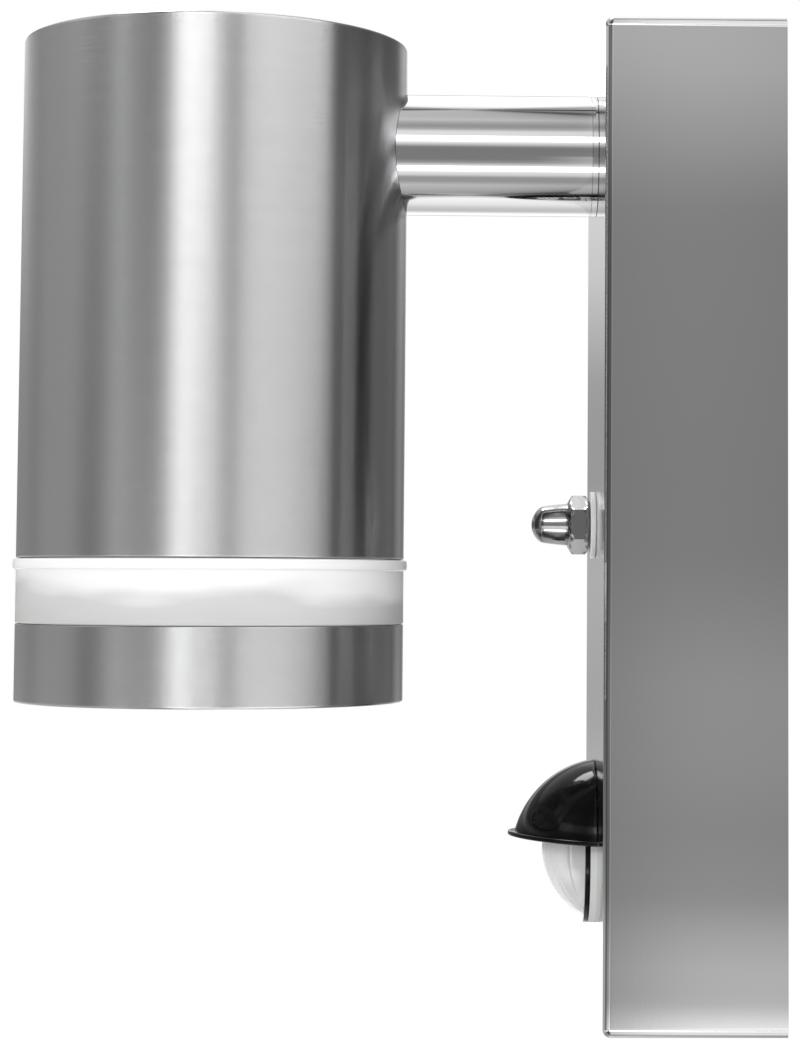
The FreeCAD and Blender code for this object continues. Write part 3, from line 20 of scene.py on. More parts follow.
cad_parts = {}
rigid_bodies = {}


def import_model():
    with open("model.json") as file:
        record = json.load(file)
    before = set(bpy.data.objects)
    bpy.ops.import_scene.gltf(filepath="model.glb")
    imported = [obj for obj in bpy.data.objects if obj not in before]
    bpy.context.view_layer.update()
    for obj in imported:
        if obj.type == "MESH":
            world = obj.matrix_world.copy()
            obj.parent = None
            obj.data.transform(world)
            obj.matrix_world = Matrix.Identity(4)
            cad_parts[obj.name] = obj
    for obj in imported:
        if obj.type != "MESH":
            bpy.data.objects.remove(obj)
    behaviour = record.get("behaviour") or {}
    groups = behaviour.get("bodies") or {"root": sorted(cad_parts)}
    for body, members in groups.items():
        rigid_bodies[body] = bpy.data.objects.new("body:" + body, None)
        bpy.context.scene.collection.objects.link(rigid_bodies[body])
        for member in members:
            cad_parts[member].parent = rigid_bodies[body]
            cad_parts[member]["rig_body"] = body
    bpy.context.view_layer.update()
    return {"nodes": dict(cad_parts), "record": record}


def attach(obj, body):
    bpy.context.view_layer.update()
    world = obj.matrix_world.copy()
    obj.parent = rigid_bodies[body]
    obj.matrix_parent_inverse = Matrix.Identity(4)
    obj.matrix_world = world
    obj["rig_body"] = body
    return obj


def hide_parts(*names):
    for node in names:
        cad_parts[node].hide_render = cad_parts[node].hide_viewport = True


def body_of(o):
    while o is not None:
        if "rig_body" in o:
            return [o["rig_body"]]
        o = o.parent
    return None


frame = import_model()
MM = 0.001

# %% [markdown]
# ## The camera
#
# The photograph was cut from a larger one, so its vanishing point is not at its middle. Two of
# the camera's numbers, the shifts, slide the picture on the sensor the way that cut did. The
# place, the two angles and the focal length come from matching the edges of the case, the arm
# and the tube.

# %% Camera
PHOTO_HEIGHT = 1057
SENSOR = 36
FOCAL_PIXELS = 2792
CAMERA_PLACE = np.array([438.7, -47.0, -9.3]) * MM
YAW, PITCH, ROLL = (math.radians(angle) for angle in (1.93, 3.95, 0.26))
SHIFT_PIXELS = (162.5, -137.0)


def looking(yaw, pitch, roll):
    """Turn of a camera that looks along -X, swung by yaw to +Y, tipped up by pitch."""
    forward = Vector((-math.cos(yaw) * math.cos(pitch), math.sin(yaw) * math.cos(pitch), math.sin(pitch)))
    side = forward.cross(Vector((0, 0, 1))).normalized()
    up = side.cross(forward)
    level = Matrix((side, up, -forward)).transposed()
    return (level @ Matrix.Rotation(roll, 3, "Z")).to_euler()


camera_data = bpy.data.cameras.new("camera")
camera_data.sensor_width = SENSOR
camera_data.lens = FOCAL_PIXELS * SENSOR / PHOTO_HEIGHT
camera_data.shift_x = -SHIFT_PIXELS[0] / PHOTO_HEIGHT
camera_data.shift_y = SHIFT_PIXELS[1] / PHOTO_HEIGHT
camera_data.clip_start = 0.01
camera = bpy.data.objects.new("camera", camera_data)
camera.location = CAMERA_PLACE
camera.rotation_euler = looking(YAW, PITCH, ROLL)
bpy.context.scene.collection.objects.link(camera)
bpy.context.scene.camera = camera
print(f"lens {camera_data.lens:.1f} mm")

# %% [markdown]
# ## Light
#
# Polished and brushed steel has no colour of its own: what you see on it is the room. So the
# room comes first. A world shader paints a studio by direction: bands round the tube, bands up
# what faces the camera and up the sides, the bright edge of a table, pale walls for the bends
# of the case, and one small window. Area lamps would do too, but a painted world gives the
# same bands on every piece and costs no noise.

# %% The studio round the light
world = bpy.data.worlds.new("studio")
bpy.context.scene.world = world
world.use_nodes = True
sky = world.node_tree
sky.nodes.clear()


def fill(tree, socket, value):
    """Link a (node, output) pair to a socket, or set the socket to a plain value."""
    if isinstance(value, tuple) and isinstance(value[0], bpy.types.Node):
        tree.links.new(value[0].outputs[value[1]], socket)
    else:
        socket.default_value = value


def node(tree, kind, **settings):
    """Add a node and fill its sockets or set its properties by name; in0 is its first socket."""
    made = tree.nodes.new(kind)
    for name, value in settings.items():
        socket = made.inputs.get(name.replace("_", " "))
        if socket is None and name.startswith("in"):
            socket = made.inputs[int(name[2:])]
        if socket is None:
            setattr(made, name, value)
        else:
            fill(tree, socket, value)
    return made


def maths(tree, operation, *values):
    """One Math node; each value is a number or a (node, output) pair."""
    made = tree.nodes.new("ShaderNodeMath")
    made.operation = operation
    for socket, value in zip(made.inputs, values):
        fill(tree, socket, value)
    return (made, 0)


def ramp(tree, factor, stops):
    """A Color Ramp whose stops are (place, brightness)."""
    made = node(tree, "ShaderNodeValToRGB", in0=factor)
    elements = made.color_ramp.elements
    for index, (where, value) in enumerate(stops):
        stop = elements[index] if index < 2 else elements.new(where)
        stop.position = where
        stop.color = (value, value, value, 1)
    return (made, "Color")


# Brightness of the studio by direction. Angles are degrees from the camera's side (+X) towards
# the wall (+Y), and up from the level. A ramp stops at 1, so one strength scales the product.
ROUND_THE_TUBE = [
    (-180, 0.27), (-174, 0.27), (-168, 0.18), (-145, 0.155), (-125, 0.12), (-104, 0.16), (-85, 0.23),
    (-66, 0.18), (-55, 0.28), (-46, 0.15), (-33, 0.09), (-25, 0.22), (-16, 0.92), (-7, 1.0), (2, 0.93),
    (8, 0.64), (12, 0.15), (17, 0.13), (23, 0.38), (35, 0.50), (55, 0.47), (70, 0.52), (77, 0.42),
    (80, 0.07), (90, 0.045), (125, 0.035), (142, 0.04), (152, 0.13), (158, 0.16), (166, 0.09),
    (174, 0.27), (180, 0.27),
]
UP_THE_FRONT = [
    (-90, 0.12), (-84, 0.075), (-77, 0.09), (-66, 0.112), (-58, 0.07), (-50, 0.07), (-45, 0.146),
    (-38, 0.19), (-36, 1.0), (-30, 1.0), (-28, 0.18), (-21, 0.068), (-15, 0.044), (-4, 0.044),
    (2, 0.043), (7.5, 0.046), (9.2, 0.06), (13, 0.12), (19, 0.21), (21.5, 1.0), (28, 1.0), (30, 0.17),
    (38, 0.167), (44, 0.087), (50, 0.065), (57, 0.085), (64, 0.12), (72, 0.105), (90, 0.105),
]
UP_THE_SIDES = [
    (-90, 0.41), (-82, 0.76), (-66, 0.65), (-53, 0.46), (-40, 0.39), (-24, 0.72), (-12, 0.60),
    (-7, 0.60), (-6.4, 0.42), (-5, 0.24), (-2.5, 0.18), (0.5, 0.21), (2, 0.155), (4, 0.16), (6.5, 0.29),
    (8, 0.32), (10.5, 0.75), (12, 0.75), (14, 0.25), (24, 0.25),
    (28, 0.70), (45, 0.70), (62, 0.90),
    (76, 0.90), (84, 0.65), (87, 0.38), (90, 0.36),
]
# The bright edge of the table beside the camera, which the foot of the case catches.
EDGE_ROUND = [(-75, 0), (-50, 0.7), (-20, 1), (-10, 1), (-5, 0), (2.6, 0), (3.4, 1), (50, 0.8), (75, 0)]
EDGE_UP = [
    (-34, 0), (-28, 0.25), (-20, 0.7), (-12, 1), (-8.75, 1), (-8.5, 0.34), (-7.3, 0.34), (-6.7, 0.15),
    (-5, 0.11), (-3.4, 0.145), (-2, 0.15), (0.5, 0.07), (8, 0.07), (9.2, 0.13), (10.9, 0.15), (12.5, 0),
]
# What the case's long bends see is more even than what the arm sees. A direction belongs to the
# case from this share of it towards the wall on.
CASE_SHARE = [(0.046, 0), (0.052, 1), (0.85, 1), (0.95, 0)]
# The two bright strips are weaker where they would show as hard lines on the bends.
STRIPS_SHARE = [(0.046, 0), (0.052, 1), (0.13, 1), (0.18, 0)]
STRIPS_UP = [(-38, 0), (-36, 0.8), (-30, 0.8), (-28, 0), (19, 0), (21.5, 0.8), (28, 0.8), (30, 0)]
# Pale walls above and below the camera, which the bends catch.
WALLS_UP = [(-88, 0.7), (-80, 1), (-42, 1), (-36, 0), (33, 0), (40, 1), (80, 1), (88, 0.7)]
# A small window high up behind the light, which glossy black plastic needs for its sparkle.
WINDOW_ROUND = [(-168, 0), (-164, 1), (-138, 1), (-134, 0)]
WINDOW_UP = [(54, 0), (56, 1), (66, 1), (68, 0)]
STUDIO_STRENGTH, EDGE_STRENGTH, WALLS_STRENGTH, WINDOW_STRENGTH = 9.0, 1.9, 1.3, 18.0

direction = node(sky, "ShaderNodeTexCoord")
parts = node(sky, "ShaderNodeSeparateXYZ", Vector=(direction, "Generated"))
azimuth = maths(sky, "ARCTAN2", (parts, "Y"), (parts, "X"))
azimuth = maths(sky, "MULTIPLY_ADD", azimuth, 0.5 / math.pi, 0.5)
elevation = maths(sky, "ARCSINE", (parts, "Z"))
elevation = maths(sky, "MULTIPLY_ADD", elevation, 1 / math.pi, 0.5)


def round_ramp(stops):
    return ramp(sky, azimuth, [((angle + 180) / 360, value) for angle, value in stops])


def height_ramp(stops):
    return ramp(sky, elevation, [((angle + 90) / 180, value) for angle, value in stops])


behind = round_ramp([(-110, 1), (-70, 0), (70, 0), (110, 1)])
front_share = maths(sky, "SUBTRACT", 1.0, behind)
front_light = maths(sky, "MULTIPLY", front_share, height_ramp(UP_THE_FRONT))
height_light = maths(sky, "MULTIPLY_ADD", behind, height_ramp(UP_THE_SIDES), front_light)
product = maths(sky, "MULTIPLY", round_ramp(ROUND_THE_TUBE), height_light)
product = maths(sky, "MULTIPLY", product, STUDIO_STRENGTH)
case_share = maths(sky, "MULTIPLY", front_share, ramp(sky, (parts, "Y"), CASE_SHARE))
strips_end = maths(sky, "MULTIPLY", ramp(sky, (parts, "Y"), STRIPS_SHARE), height_ramp(STRIPS_UP))
product = maths(sky, "MULTIPLY", product, maths(sky, "SUBTRACT", 1.0, strips_end))
table_edge = maths(sky, "MULTIPLY", round_ramp(EDGE_ROUND), height_ramp(EDGE_UP))
product = maths(sky, "MULTIPLY_ADD", table_edge, EDGE_STRENGTH, product)
walls = maths(sky, "MULTIPLY", case_share, height_ramp(WALLS_UP))
product = maths(sky, "MULTIPLY_ADD", walls, WALLS_STRENGTH, product)
window = maths(sky, "MULTIPLY", round_ramp(WINDOW_ROUND), height_ramp(WINDOW_UP))
product = maths(sky, "MULTIPLY_ADD", window, WINDOW_STRENGTH, product)
glow = node(sky, "ShaderNodeBackground", Color=product, Strength=1.0)
white = node(sky, "ShaderNodeBackground", Color=(1, 1, 1, 1), Strength=1.0)
ray = node(sky, "ShaderNodeLightPath")
straight = maths(sky, "MAXIMUM", (ray, "Is Camera Ray"), (ray, "Is Transmission Ray"))
whiteness = maths(sky, "ADD", (ray, "Is Diffuse Ray"), straight)
chosen = node(sky, "ShaderNodeMixShader", Fac=whiteness, in1=(glow, 0), in2=(white, 0))
node(sky, "ShaderNodeOutputWorld", Surface=(chosen, 0))
bpy.context.scene.view_settings.view_transform = "Standard"
print(f"studio with {len(ROUND_THE_TUBE)} stops round and {len(UP_THE_FRONT)} up and down")

# %% [markdown]
# ## Grids, and the floor as the first one
#
# Nearly every piece below is a grid: rows and columns of points, worked out all at once from
# two parameters, with a quad between neighbours. Written by hand, each piece would need its
# own loops, so two helpers do it here: one numbers the quads and one fills a mesh.
#
# The floor is the plainest grid. The photograph has none in view, only white, so the floor
# lies well below the lamp, and polished steel reflects the studio rather than it.

# %% Grid helpers and floor
TURN = 2 * math.pi


def grid(points, round_rows=False, round_columns=False):
    """Points of shape (rows, columns, 3) and the quads that join neighbours.

    A round direction also joins its last line to its first.
    """
    rows, columns = points.shape[:2]
    index = np.arange(rows * columns).reshape(rows, columns)
    if round_rows:
        index = np.vstack([index, index[:1]])
    if round_columns:
        index = np.hstack([index, index[:, :1]])
    quads = np.stack([index[:-1, :-1], index[:-1, 1:], index[1:, 1:], index[1:, :-1]], -1)
    return points.reshape(-1, 3), quads.reshape(-1, 4)


def mesh_of(name, points, quads):
    """A mesh from an array of points in millimetres and an array of quads."""
    mesh = bpy.data.meshes.new(name)
    mesh.vertices.add(len(points))
    mesh.vertices.foreach_set("co", (np.ravel(points) * MM).astype(np.float32))
    mesh.loops.add(quads.size)
    mesh.loops.foreach_set("vertex_index", np.ravel(quads).astype(np.int32))
    mesh.polygons.add(len(quads))
    mesh.polygons.foreach_set("loop_start", np.arange(0, quads.size, 4, dtype=np.int32))
    mesh.update(calc_edges=True)
    mesh.validate()
    return mesh


FLOOR_HEIGHT, FLOOR_REACH = -360, 1100
floor_x, floor_y = np.meshgrid(*[np.linspace(-FLOOR_REACH, FLOOR_REACH, 3)] * 2)
floor_mesh = mesh_of("floor", *grid(np.stack([floor_x, floor_y, floor_x * 0 + FLOOR_HEIGHT], -1)))
floor = bpy.data.objects.new("floor", floor_mesh)
bpy.context.scene.collection.objects.link(floor)
floor.visible_glossy = False
print(f"floor at {FLOOR_HEIGHT} mm")

# %% [markdown]
# ## Three effects that the finishes share
#
# Steel sheet, turned steel, mouldings and rubber differ in colour, but the same few effects
# come back: lines drawn by an abrasive belt, the faint skin of a mould, and the smudges of
# hands. Each is a node group that puts out a tone or a height, and each finish places it with
# its own scale and strength.

# %% Shared effects


def effect(name, inputs, outputs):
    """An empty node group; its Vector is a vector and its other sockets are floats."""
    tree = bpy.data.node_groups.new(name, "ShaderNodeTree")
    for label in inputs:
        kind = "NodeSocketVector" if label == "Vector" else "NodeSocketFloat"
        tree.interface.new_socket(label, in_out="INPUT", socket_type=kind)
    for label in outputs:
        tree.interface.new_socket(label, in_out="OUTPUT", socket_type="NodeSocketFloat")
    return tree, tree.nodes.new("NodeGroupInput"), tree.nodes.new("NodeGroupOutput")


def noise(tree, vector, scale, detail=2.0, roughness=0.5):
    """A noise texture read at a vector; gives its value from 0 to 1."""
    made = node(tree, "ShaderNodeTexNoise", Vector=vector, Scale=scale, Detail=detail, Roughness=roughness)
    return (made, "Fac")


def centred(tree, value, strength):
    """One plus strength times how far a 0 to 1 value lies from its middle."""
    offset = maths(tree, "SUBTRACT", value, 0.5)
    return maths(tree, "MULTIPLY_ADD", offset, strength, 1.0)


drawn_lines, into, out = effect("Drawn lines", ["Vector", "Strength"], ["Tone", "Height"])
fine = noise(drawn_lines, (into, "Vector"), 1.0, 3.0, 0.65)
broad = noise(drawn_lines, (into, "Vector"), 0.13, 1.0)
both = maths(drawn_lines, "MULTIPLY_ADD", broad, 0.35, maths(drawn_lines, "MULTIPLY", fine, 0.65))
fill(drawn_lines, out.inputs["Height"], both)
fill(drawn_lines, out.inputs["Tone"], centred(drawn_lines, both, (into, "Strength")))

moulded_skin, into, out = effect("Moulded skin", ["Vector", "Scale", "Strength"], ["Tone", "Height"])
grains = node(moulded_skin, "ShaderNodeTexVoronoi", Vector=(into, "Vector"), Scale=(into, "Scale"))
cloud = noise(moulded_skin, (into, "Vector"), 45.0, 3.0)
fill(moulded_skin, out.inputs["Height"], (grains, "Distance"))
fill(moulded_skin, out.inputs["Tone"], centred(moulded_skin, cloud, (into, "Strength")))

handling, into, out = effect("Handling marks", ["Vector", "Scale", "Strength"], ["Tone"])
patches = noise(handling, (into, "Vector"), (into, "Scale"))
soft = node(handling, "ShaderNodeMapRange", Value=patches, From_Min=0.25, From_Max=0.75)
soft.interpolation_type = "SMOOTHSTEP"
fill(handling, out.inputs["Tone"], centred(handling, (soft, 0), (into, "Strength")))
print([group.name for group in bpy.data.node_groups])

# %% [markdown]
# ## From an effect to a finish
#
# A finish is a Principled shader. Its plain numbers, such as how metallic or how anisotropic it
# is, sit on the shader itself, because they do not change over the surface. What does change,
# the tone, the roughness and the bump, comes from the effects. Patterns read Object
# coordinates, and since every piece's object sits at the origin, they stay put on the piece.

# %% The recipe for a finish


def patterned(tree, group, place, settings):
    """An effect read at a place; its settings are its scale and its strength."""
    scale, strength = settings
    return node(tree, "ShaderNodeGroup", node_tree=group, Vector=place, Scale=scale, Strength=strength)


def finish(name, colour, rough, skin=None, marks=None, bump=0.0, lines=None, along_uv=False, **plain):
    """A material: a metal with drawn lines, or anything else with a moulded skin.

    skin is (scale, tone strength); marks is (scale, roughness strength); lines is
    (scale x, scale y, scale z, tone strength). Plain settings go on the shader's own sockets.
    Lines can follow the piece's own UV map, whose v runs along the grain.
    """
    material = bpy.data.materials.new(name)
    material.use_nodes = True
    tree = material.node_tree
    shader = tree.nodes["Principled BSDF"]
    place = tree.nodes.new("ShaderNodeTexCoord")
    for label, value in plain.items():
        shader.inputs[label.replace("_", " ")].default_value = value
    if lines:
        shader.inputs["Metallic"].default_value = 1.0
        source = (place, "UV" if along_uv else "Object")
        stretch = node(tree, "ShaderNodeMapping", Vector=source, Scale=lines[:3])
        group = node(tree, "ShaderNodeGroup", node_tree=drawn_lines, Vector=(stretch, 0), Strength=lines[3])
    else:
        group = patterned(tree, moulded_skin, (place, "Object"), skin)
    shade = node(tree, "ShaderNodeVectorMath", operation="SCALE", in0=colour, Scale=(group, "Tone"))
    fill(tree, shader.inputs["Base Color"], (shade, 0))
    if marks:
        rubbed = patterned(tree, handling, (place, "Object"), marks)
        rough = maths(tree, "MULTIPLY", (rubbed, "Tone"), rough)
    fill(tree, shader.inputs["Roughness"], rough)
    if bump:
        relief = node(tree, "ShaderNodeBump", Distance=bump, Height=(group, "Height"))
        fill(tree, shader.inputs["Normal"], (relief, 0))
    return material


def brushed_round(material):
    """Lay a steel's blur across lines that run round the upright axis."""
    tree = material.node_tree
    tangent = node(tree, "ShaderNodeTangent", direction_type="RADIAL", axis="Z")
    fill(tree, tree.nodes["Principled BSDF"].inputs["Tangent"], (tangent, 0))
    return material


def painted_shade_by_height(material, low, high, stops):
    """Paint shade into a plastic: a ramp up its height, darker low down, with the borders bent by a slow
    noise.
    """
    tree = material.node_tree
    base = tree.nodes["Principled BSDF"].inputs["Base Color"]
    place = (tree.nodes.new("ShaderNodeTexCoord"), "Object")
    spread = node(tree, "ShaderNodeMapping", Vector=place, Scale=(38, 38, 150))
    bend = maths(tree, "MULTIPLY_ADD", noise(tree, (spread, "Vector"), 1.0), 0.9, -0.45)
    height = node(tree, "ShaderNodeSeparateXYZ", Vector=place)
    share = maths(tree, "MULTIPLY_ADD", (height, "Z"), 1 / (high - low), -low / (high - low))
    tone = ramp(tree, maths(tree, "ADD", share, bend), stops)
    under = (base.links[0].from_node, 0)
    shade = node(tree, "ShaderNodeVectorMath", operation="MULTIPLY", in0=under, in1=tone)
    fill(tree, base, (shade, 0))
    return material


# %% [markdown]
# ## The finishes
#
# The tube and the end ring are brushed round their axis, so a lamp's reflection is drawn out
# up and down into the broad vertical bands of the photograph. The case is brushed along its
# length, so its bands lie level. The arm is polished. Plastics, rubber and plated steel follow.

# %% Finishes
FAST, SLOW = 5200.0, 26.0
PALE = (0.80, 0.80, 0.79)

finishes = {
    "brushed_tube": brushed_round(finish(
        "Brushed tube", (0.50, 0.50, 0.505), 0.24, lines=(SLOW, SLOW, FAST, 0.06),
        bump=0.00003, Anisotropic=1.0, Anisotropic_Rotation=0.25,
    )),
    "brushed_case": brushed_round(finish(
        "Brushed case", (0.48, 0.48, 0.485), 0.06, lines=(2.2 * FAST, SLOW, SLOW, 0.03),
        bump=0.000001, along_uv=True, Anisotropic=1.0,
    )),
    "pale_silicone": finish(
        "Pale silicone", PALE, 0.5, (3600, 0.05), (90, 0.2), 0.00001,
        Subsurface_Weight=0.2, Subsurface_Scale=0.0005,
    ),
    # The frosted ring is painted darker towards its foot: painted shade for the skirt and the hollow seen
    # through its wall.
    "clear_plastic": painted_shade_by_height(
        finish(
            "Frosted polycarbonate", (0.99, 0.99, 0.99), 0.24, (2600, 0.02),
            bump=0.00001, Transmission_Weight=0.14, IOR=1.49, Specular_IOR_Level=0.18,
        ),
        -0.0156, -0.0057, [(0.0, 0.62), (0.35, 0.68), (0.5, 0.86), (0.62, 0.96), (0.75, 1.0)],
    ),
    "clear_glass": finish(
        "Front glass", (0.95, 0.97, 0.965), 0.03, (300, 0.02), (50, 0.8),
        Transmission_Weight=0.98, IOR=1.5,
    ),
    "milky_lens": finish(
        "Milky lens", (0.60, 0.605, 0.605), 0.22, (2400, 0.05), (90, 0.4), 0.00001,
        Transmission_Weight=0.25, IOR=1.5, Coat_Weight=0.3, Coat_Roughness=0.15,
    ),
    "black_gloss": finish(
        "Black gloss", (0.005, 0.005, 0.0055), 0.06, (2200, 0.3), (120, 0.3), 0.000003, IOR=1.2,
    ),
    "ceramic": finish(
        "Glazed ceramic", (0.78, 0.765, 0.71), 0.24, (1700, 0.07), (60, 0.4), 0.00003,
        Coat_Weight=0.4, Coat_Roughness=0.12,
    ),
    "lamp_glass": finish(
        "Pressed glass", (0.93, 0.95, 0.94), 0.08, (500, 0.03), (60, 0.6),
        Transmission_Weight=0.9, IOR=1.5,
    ),
}

# Other metals: slot, name, colour, roughness, marks, bump, scale and strength of the lines.
for slot, name, colour, rough, marks, bump, scale, tone in [
    ("polished_arm", "Polished arm", (0.50, 0.50, 0.505), 0.05, (60, 0.3), 0.0, SLOW, 0.05),
    # The cap nut has a darker colour than the arm: painted shade for the dark gap that it reflects.
    ("polished_nut", "Bright plated nut", (0.30, 0.30, 0.305), 0.12, (160, 0.5), 0.000004, 900, 0.06),
    ("plated_steel", "Zinc plated steel", (0.52, 0.54, 0.55), 0.33, (90, 0.5), 0.00001, 700, 0.30),
    ("threaded_rod", "Threaded rod", (0.50, 0.50, 0.47), 0.36, (90, 0.4), 0.00001, 900, 0.30),
    ("brass", "Brass", (0.70, 0.52, 0.24), 0.28, (120, 0.5), 0.000008, 900, 0.22),
    ("sensor_can", "Nickel can", (0.62, 0.60, 0.56), 0.22, (160, 0.5), 0.000004, 1200, 0.1),
    ("reflector_glass", "Aluminised reflector", (0.74, 0.745, 0.75), 0.14, (60, 0.5), 0.00002, 300, 0.06),
]:
    finishes[slot] = finish(name, colour, rough, None, marks, bump, (scale, scale, scale, tone))

# What is moulded, printed or drawn in one plain colour: slot, name, colour, roughness, skin, marks and bump.
for slot, *settings in [
    ("black_rubber", "Black rubber", (0.022, 0.022, 0.023), 0.62, (5200, 0.35), (70, 0.3), 0.00002),
    ("grey_foam", "Foam strip", (0.055, 0.056, 0.06), 0.9, (1500, 0.55), (60, 0.1), 0.0002),
    ("white_nylon", "White nylon", PALE, 0.42, (3000, 0.06), (120, 0.3), 0.00001),
    ("dark_moulding", "Dark moulding", (0.035, 0.036, 0.04), 0.46, (3800, 0.25), (60, 0.3), 0.00003),
    ("white_moulding", "White moulding", (0.76, 0.76, 0.74), 0.38, (3600, 0.06), (60, 0.3), 0.00002),
    ("circuit_board", "Circuit board", (0.018, 0.115, 0.048), 0.34, (1600, 0.35), (90, 0.3), 0.00002),
    ("relay_case", "Relay case", (0.03, 0.075, 0.26), 0.30, (3000, 0.1), (90, 0.3), 0.00001),
    ("capacitor_sleeve", "Capacitor sleeve", (0.018, 0.02, 0.045), 0.25, (1500, 0.2), (120, 0.3), 0.00001),
    ("trimmer_case", "Trimmer case", (0.03, 0.12, 0.36), 0.34, (3000, 0.1), (120, 0.3), 0.00001),
    ("trimmer_knob", "Trimmer knob", (0.74, 0.71, 0.60), 0.36, (3000, 0.08), (120, 0.3), 0.00001),
    ("brown_sleeve", "Brown sleeving", (0.11, 0.045, 0.018), 0.4, (2400, 0.2), (90, 0.3), 0.00001),
    ("blue_sleeve", "Blue insulation", (0.03, 0.10, 0.36), 0.38, (2400, 0.15), (90, 0.3), 0.00001),
    ("green_yellow_sleeve", "Earth insulation", (0.20, 0.36, 0.03), 0.38, (2400, 0.15), (90, 0.3), 0.00001),
]:
    finishes[slot] = finish(*settings)
floor_mesh.materials.append(finish("Pale floor", PALE, 0.6, (40, 0.03), (8, 0.2)))

slot_of = {item["node"]: item["material_slot"] for item in frame["record"]["subparts"]}
for name, solid in frame["nodes"].items():
    mesh = solid.data
    mesh.materials.clear()
    mesh.materials.append(finishes[slot_of[name]])
print(f"{len(finishes)} finishes on {len(slot_of)} CAD pieces")

# %% [markdown]
# ## From a grid to a piece
#
# A piece is one or more closed grids in one mesh. After its doubled points are merged, which
# also closes its poles, its faces are turned outwards, and edges that turn sharply stay sharp
# while the rest is shaded smooth. It takes the place of the CAD node of its own name, rides the
# body that this node rides and wears its finish, and its object stays at the origin. A piece
# that the CAD model hasn't got names its finish and its body itself.

# %% Piece helpers
SHARP = math.radians(34)
DOUBLED, FLAT = 1e-6, 1e-7


def joined(*grids):
    """Several grids as one array of points and one of quads."""
    starts = np.cumsum([0] + [len(points) for points, _ in grids[:-1]])
    points = np.concatenate([points for points, _ in grids])
    return points, np.concatenate([quads + start for (_, quads), start in zip(grids, starts)])


def merged(mesh, from_grids=True):
    """Merge doubled points; what comes from grids also drops flat faces and turns all outwards."""
    work = bmesh.new()
    work.from_mesh(mesh)
    bmesh.ops.remove_doubles(work, verts=work.verts, dist=DOUBLED)
    if from_grids:
        bmesh.ops.dissolve_degenerate(work, edges=work.edges, dist=FLAT)
        bmesh.ops.recalc_face_normals(work, faces=work.faces)
    work.to_mesh(mesh)
    work.free()
    mesh.shade_smooth()
    mesh.set_sharp_from_angle(angle=SHARP)
    return mesh


def settle(name, mesh, look=None, body=None):
    """Make an object of a mesh, give it its finish and let it ride its body.

    The modifier lets large faces decide the shading, or it swells beside small round edges.
    """
    look = look or slot_of[name]
    mesh.materials.clear()
    mesh.materials.append(finishes[look])
    item = bpy.data.objects.new(name, mesh)
    even = item.modifiers.new("flats stay flat", "WEIGHTED_NORMAL")
    even.mode, even.weight, even.keep_sharp = "FACE_AREA", 100, True
    bpy.context.scene.collection.objects.link(item)
    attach(item, body or body_of(frame["nodes"][name])[0])
    if name in frame["nodes"]:
        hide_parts(name)
    print(f"{name}: {len(mesh.polygons)} faces")


def piece(name, *grids, look=None, body=None):
    """Put closed grids into one object."""
    settle(name, merged(mesh_of(name, *joined(*grids))), look, body)


# %% [markdown]
# ## Turned profiles
#
# Most of this light came off a lathe or out of a round mould: tube, rings, washers, glass. Each
# is a closed outline of radius and place, turned round a line. Real edges are never
# knife-sharp, and a tiny round edge is what catches a highlight, so the outline's corners are
# softened first, with a short curve from one side of the corner to the other.

# %% Turned profiles
# The lines that pieces are turned round: which way each runs, and where it stands across that.
SENSOR_HEIGHT = -50
LAMP_LINE = ("up", (0, -87))
ARM_LINE, NUT_LINE, SENSOR_LINE = (("out", (0, height)) for height in (58.3, 0, SENSOR_HEIGHT))


def soften(outline, reach=0.2, steps=5):
    """Replace each corner C of a closed outline by the curve (1-s)^2 A + 2s(1-s) C + s^2 B.

    A and B lie on the corner's two sides, reach away from it. Corners on the axis stay.
    """
    corner = np.array(outline, float)
    before, after = np.roll(corner, 1, 0) - corner, np.roll(corner, -1, 0) - corner
    reach = np.where(corner[:, 0] > 0, reach, 0)
    start = corner + before * np.minimum(reach / np.linalg.norm(before, axis=1), 0.45)[:, None]
    end = corner + after * np.minimum(reach / np.linalg.norm(after, axis=1), 0.45)[:, None]
    s = np.linspace(0, 1, steps)[None, :, None]
    curve = (1 - s) ** 2 * start[:, None] + 2 * s * (1 - s) * corner[:, None] + s**2 * end[:, None]
    return curve.reshape(-1, 2)


def stand(a, b, t, line):
    """Points at (a, b) across a line and t along it; up is +Z, out is away from the wall."""
    a, b, t = np.broadcast_arrays(a, b, t)
    way, (right, other) = line
    if way == "up":
        return np.stack([right + a, other + b, t], -1)
    return np.stack([right + a, -t, other + b], -1)


def polar(r, u, t, line=LAMP_LINE):
    """Points at radius r and angle u round a line and t along it: (r cos u, r sin u, t)."""
    return stand(r * np.cos(u), r * np.sin(u), t, line)


def whole_turn(steps):
    """Even angles over a whole turn, as one row."""
    return np.linspace(0, TURN, steps, endpoint=False)[None, :]


def turned(outline, line=LAMP_LINE, steps=96):
    """One round row of points for each radius and place of an outline."""
    r, t = np.array(outline, float).T[..., None]
    return polar(r, whole_turn(steps), t, line)


def stacked(*rows, open_ended=False):
    """Sets of round rows as one grid, whose last row meets its first unless it is open-ended."""
    return grid(np.concatenate(rows), not open_ended, True)


def lathe(outline, line=LAMP_LINE, steps=96):
    """A closed outline, turned."""
    return stacked(turned(outline, line, steps))


def flat_ring(inside, outside, low, high, reach, line=LAMP_LINE, steps=96):
    """A ring with a rectangular section between two radii and two places."""
    corners = [(inside, low), (outside, low), (outside, high), (inside, high)]
    return lathe(soften(corners, reach), line, steps)


# %% [markdown]
# ## Tube and end ring
#
# Both are the same brushed stainless tube, one millimetre thick, and the tube has a disc welded
# flush into its top, with the weld ground to a small round edge. The end ring's lower
# edge is rolled in over the glass. A plain cylinder with a Solidify modifier would give the
# wall, but not the rolled lip, so both are turned from their cross-sections.

